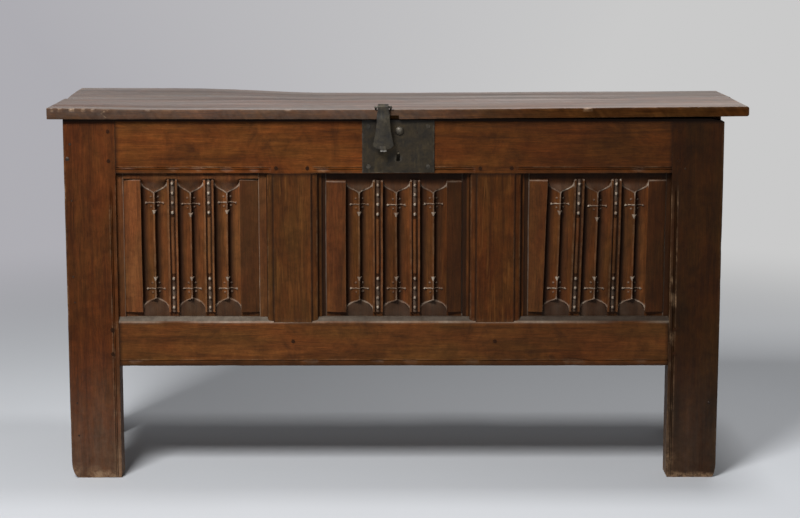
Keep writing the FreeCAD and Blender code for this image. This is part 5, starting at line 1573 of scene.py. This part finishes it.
class COFFER_OT_lock(bpy.types.Operator):
    """Finishes the lock plate with its boss, nails and works"""
    bl_idname = "coffer.lock"
    bl_label = "Lock"

    PLATE_TONE, PIN_TONE = (0.8, 0.72, 0.56), (4.0, 4.0, 4.0)
    PLATE_GRID = {"x": 0.006, "z": 0.004}
    SMALL_BEVEL = 0.0002
    BOSS_SPREAD = 1.6
    BOSS_ASIDE = 0.0025
    BOSS_DROP = 0.005
    NAIL_SHARE = 0.45

    def execute(self, context):
        low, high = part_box("lock_plate")
        plate = iron("iron_lock_plate", 0.0, self.PLATE_TONE)
        sheet = forged("lock_plate", dent=context.scene.coffer_iron.dent, grid=self.PLATE_GRID, seed=3.0)
        # Painted shadow of the lid along the plate's top
        dirt_and_shade = sheet.verts.layers.float.new("dirt_and_shade")
        for vert in sheet.verts:
            vert[dirt_and_shade] = 0.9 * smooth(vert.co.z, high.z - 0.009, high.z - 0.002)
        aged("lock_plate", sheet, plate)
        boss = forged("lock_boss", self.SMALL_BEVEL)
        self.spread(boss, low.y)
        aged("lock_boss", boss, iron("iron_boss", 0.35))
        nails = forged("lock_plate_nails", self.SMALL_BEVEL)
        for vert in nails.verts:
            if vert.co.y < low.y:
                vert.co.y = low.y + (vert.co.y - low.y) * self.NAIL_SHARE
        aged("lock_plate_nails", nails, plate)
        works = iron("iron_lock_works", 0.15)
        for node in ("lock_bolt", "lock_bolt_guides", "lock_spring", "lock_cap"):
            dress(node, works)
        # The drill pin is much brighter than the other iron: key-rubbed iron with a painted glint that shows
        # in the keyhole's shade
        dress("lock_drill_pin", iron("iron_drill_pin_glint", 0.9, self.PIN_TONE))
        return {"FINISHED"}

    def spread(self, boss, face):
        """Widens the part of the boss that stands on the plate, and sets it lower and to the right."""
        low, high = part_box("lock_boss")
        middle = (low + high) / 2.0
        for vert in boss.verts:
            if vert.co.y < face + WELD:
                vert.co.x = middle.x + (vert.co.x - middle.x) * self.BOSS_SPREAD + self.BOSS_ASIDE
                vert.co.z = middle.z + (vert.co.z - middle.z) * self.BOSS_SPREAD - self.BOSS_DROP


class COFFER_OT_hasp(bpy.types.Operator):
    """Finishes the hasp, its catch and the staple it hangs from"""
    bl_idname = "coffer.hasp"
    bl_label = "Hasp"

    TONE = (1.15, 1.2, 1.25)
    GRID = {"x": 0.004, "z": 0.004}
    BEVEL = 0.0007
    DENT = 0.0003
    STAPLE_BEVEL = 0.0002
    CREST = 0.0024
    NECK = 0.84
    STAPLE = 0.84

    def execute(self, context):
        finish = iron("iron_hasp", 0.06, self.TONE)
        low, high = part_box("hasp")
        middle = (low.x + high.x) / 2.0
        bm = forged("hasp", self.BEVEL, self.DENT, self.GRID, 8.0)
        (worn,) = layers(bm, "worn")
        for vert in bm.verts:
            crest = 1.0 - abs(vert.co.x - middle) / (high.x - middle)
            crest *= 1.0 - smooth(vert.co.z, high.z - 0.03, high.z - 0.016)
            vert.co.y = max(low.y, vert.co.y - self.CREST * crest)
            neck = 1.0 - (1.0 - self.NECK) * smooth(vert.co.z, high.z - 0.016, high.z - 0.013)
            vert.co.x = middle + (vert.co.x - middle) * neck
            lip = smooth(-vert.co.y, -low.y - 0.009, -low.y - 0.005)
            tip = 1.0 - smooth(vert.co.z, low.z + 0.0012, low.z + 0.003)
            vert[worn] = max(vert[worn] * (1.0 - lip), lip * tip)
        aged("hasp", bm, finish, "hasp")
        dress("hasp_catch", finish)
        bm = forged("hasp_staple", self.STAPLE_BEVEL)
        for vert in bm.verts:
            vert.co.x = middle + (vert.co.x - middle) * self.STAPLE
        aged("hasp_staple", bm, finish, "lid")
        return {"FINISHED"}


# stage

class COFFER_OT_stage(bpy.types.Operator):
    """Sets the floor, backdrop, lights and camera"""
    bl_idname = "coffer.stage"
    bl_label = "Stage"

    FLOOR_HALF = 40.0
    FLOOR_ROUGHNESS = 0.75
    CLOUD_TONE = (0.97, 0.97, 0.97)
    SKY = (0.95, 0.97, 1.0, 1.0)
    SENSOR = 36.0
    # Lamps: place, aim and size
    KEY = ((-1.2, -2.55, 3.0), (-0.9, -0.17, 0.2), (1.1, 1.0))
    TOP = ((0.68, 0.04, 2.07), (0.68, 0.04, 0.0), (0.28, 0.28))

    def execute(self, context):
        stage = context.scene.coffer_stage
        context.scene.view_settings.view_transform = "Standard"
        self.floor(stage)
        self.light("key_light", *self.KEY, stage.key)
        self.light("top_light", *self.TOP, stage.top)
        self.world(stage)
        self.camera(stage)
        return {"FINISHED"}

    def seen(self, paint):
        """1 for the rays that show a background: those of the camera, reflections and glass."""
        path = paint.add("ShaderNodeLightPath").outputs
        direct = paint.plus(path["Is Camera Ray"], path["Is Glossy Ray"])
        return paint.plus(direct, path["Is Transmission Ray"])

    def floor(self, stage):
        """A wide pale floor that turns to an even tone far from the chest, where it glows with painted light
        in place of being lit.
        """
        made, paint = new_material("floor_paint")
        place = paint.place()
        cloud = paint.span(paint.mottle(place, 1.4, 2.0), 0.3, 0.7)
        tint = paint.mix(cloud, toned(stage.floor, self.CLOUD_TONE), stage.floor)
        thrown = paint.add("ShaderNodeLightPath").outputs["Is Diffuse Ray"]
        tint = paint.mix(thrown, tint, toned(stage.floor, (stage.bounce,) * 3))
        skin = paint.add("ShaderNodeBsdfPrincipled", {"Base Color": tint, "Roughness": self.FLOOR_ROUGHNESS})
        away = paint.add("ShaderNodeVectorMath", {0: place}, operation="LENGTH").outputs["Value"]
        fade = paint.add("ShaderNodeMapRange", {"Value": away, "From Min": stage.fade_start,
                                                "From Max": stage.fade_end}, interpolation_type="SMOOTHSTEP")
        fade = paint.times(fade.outputs["Result"], self.seen(paint))
        glow = paint.add("ShaderNodeEmission", {"Color": self.far(paint, stage, place), "Strength": 1.0})
        both = paint.add("ShaderNodeMixShader", {0: fade, 1: skin.outputs["BSDF"],
                                                 2: glow.outputs["Emission"]})
        paint.add("ShaderNodeOutputMaterial", {"Surface": both.outputs["Shader"]})
        bm = bmesh.new()
        bmesh.ops.create_grid(bm, x_segments=1, y_segments=1, size=self.FLOOR_HALF)
        mesh = bpy.data.meshes.new("studio_floor")
        bm.to_mesh(mesh)
        bm.free()
        mesh.materials.append(made)
        laid = bpy.data.objects.new("studio_floor", mesh)
        bpy.context.scene.collection.objects.link(laid)

    def far(self, paint, stage, place):
        """Tone of the far floor's painted glow, darker on the left."""
        heading = paint.add("ShaderNodeVectorMath", {0: place}, operation="NORMALIZE").outputs["Vector"]
        across = paint.add("ShaderNodeSeparateXYZ", {"Vector": heading}).outputs["X"]
        return paint.mix(paint.span(across, -0.22, 0.14), stage.far_left, stage.far_right)

    def light(self, name, place, aim, size, power):
        """A soft rectangular lamp."""
        lamp = bpy.data.lights.new(name, "AREA")
        lamp.shape = "RECTANGLE"
        lamp.size, lamp.size_y = size
        lamp.energy = power
        made = bpy.data.objects.new(name, lamp)
        made.location = place
        made.rotation_euler = (Vector(aim) - Vector(place)).to_track_quat("-Z", "Y").to_euler()
        bpy.context.scene.collection.objects.link(made)

    def world(self, stage):
        """Ambient light, stronger from the backdrop, behind the far floor's tone."""
        made = bpy.data.worlds.new("studio_world")
        made.use_nodes = True
        paint = Paint(made.node_tree)
        heading = paint.add("ShaderNodeTexCoord").outputs["Generated"]
        behind = paint.add("ShaderNodeSeparateXYZ", {"Vector": heading}).outputs["Y"]
        lit = paint.span(behind, 0.0, 0.7, stage.world, stage.world + stage.backdrop)
        sky = paint.add("ShaderNodeBackground", {"Color": self.SKY, "Strength": lit})
        wall = paint.add("ShaderNodeBackground", {"Color": self.far(paint, stage, heading), "Strength": 1.0})
        both = paint.add("ShaderNodeMixShader", {0: self.seen(paint), 1: sky.outputs["Background"],
                                                 2: wall.outputs["Background"]})
        paint.add("ShaderNodeOutputWorld", {"Surface": both.outputs["Shader"]})
        bpy.context.scene.world = made

    def camera(self, stage):
        """The camera at the photograph's place."""
        lens = bpy.data.cameras.new("photo_camera")
        lens.lens = stage.lens
        lens.sensor_width = self.SENSOR
        made = bpy.data.objects.new("photo_camera", lens)
        made.location = stage.camera
        made.rotation_euler = (math.pi / 2.0 - stage.pitch, 0.0, -stage.yaw)
        bpy.context.scene.collection.objects.link(made)
        bpy.context.scene.camera = made


# panel and registration

OPERATORS = (COFFER_OT_stage, COFFER_OT_stiles, COFFER_OT_rails, COFFER_OT_muntins, COFFER_OT_linenfold,
             COFFER_OT_boards, COFFER_OT_pegs, COFFER_OT_lid, COFFER_OT_hinges, COFFER_OT_lock,
             COFFER_OT_hasp)


class COFFER_PT_panel(bpy.types.Panel):
    """Lists the steps that model and finish the coffer"""
    bl_idname = "COFFER_PT_panel"
    bl_label = "Coffer"
    bl_space_type = "VIEW_3D"
    bl_region_type = "UI"
    bl_category = "Coffer"

    def draw(self, context):
        for operator in OPERATORS:
            self.layout.operator(operator.bl_idname)


GROUPS = {"coffer_timber": CofferTimber, "coffer_fold": CofferFold, "coffer_oak": CofferOak,
          "coffer_iron": CofferIron, "coffer_stage": CofferStage}
CLASSES = (*GROUPS.values(), *OPERATORS, COFFER_PT_panel)


def register():
    """Makes the add-on known to Blender."""
    for item in CLASSES:
        bpy.utils.register_class(item)
    for name, group in GROUPS.items():
        setattr(bpy.types.Scene, name, PointerProperty(type=group))


def unregister():
    """Takes the add-on out of Blender again."""
    for name in GROUPS:
        delattr(bpy.types.Scene, name)
    for item in reversed(CLASSES):
        bpy.utils.unregister_class(item)


def main():
    """Runs every step."""
    register()
    bpy.ops.coffer.stage()
    bpy.ops.coffer.stiles()
    bpy.ops.coffer.rails()
    bpy.ops.coffer.muntins()
    bpy.ops.coffer.linenfold()
    bpy.ops.coffer.boards()
    bpy.ops.coffer.pegs()
    bpy.ops.coffer.lid()
    bpy.ops.coffer.hinges()
    bpy.ops.coffer.lock()
    bpy.ops.coffer.hasp()


if __name__ == "__main__":
    main()
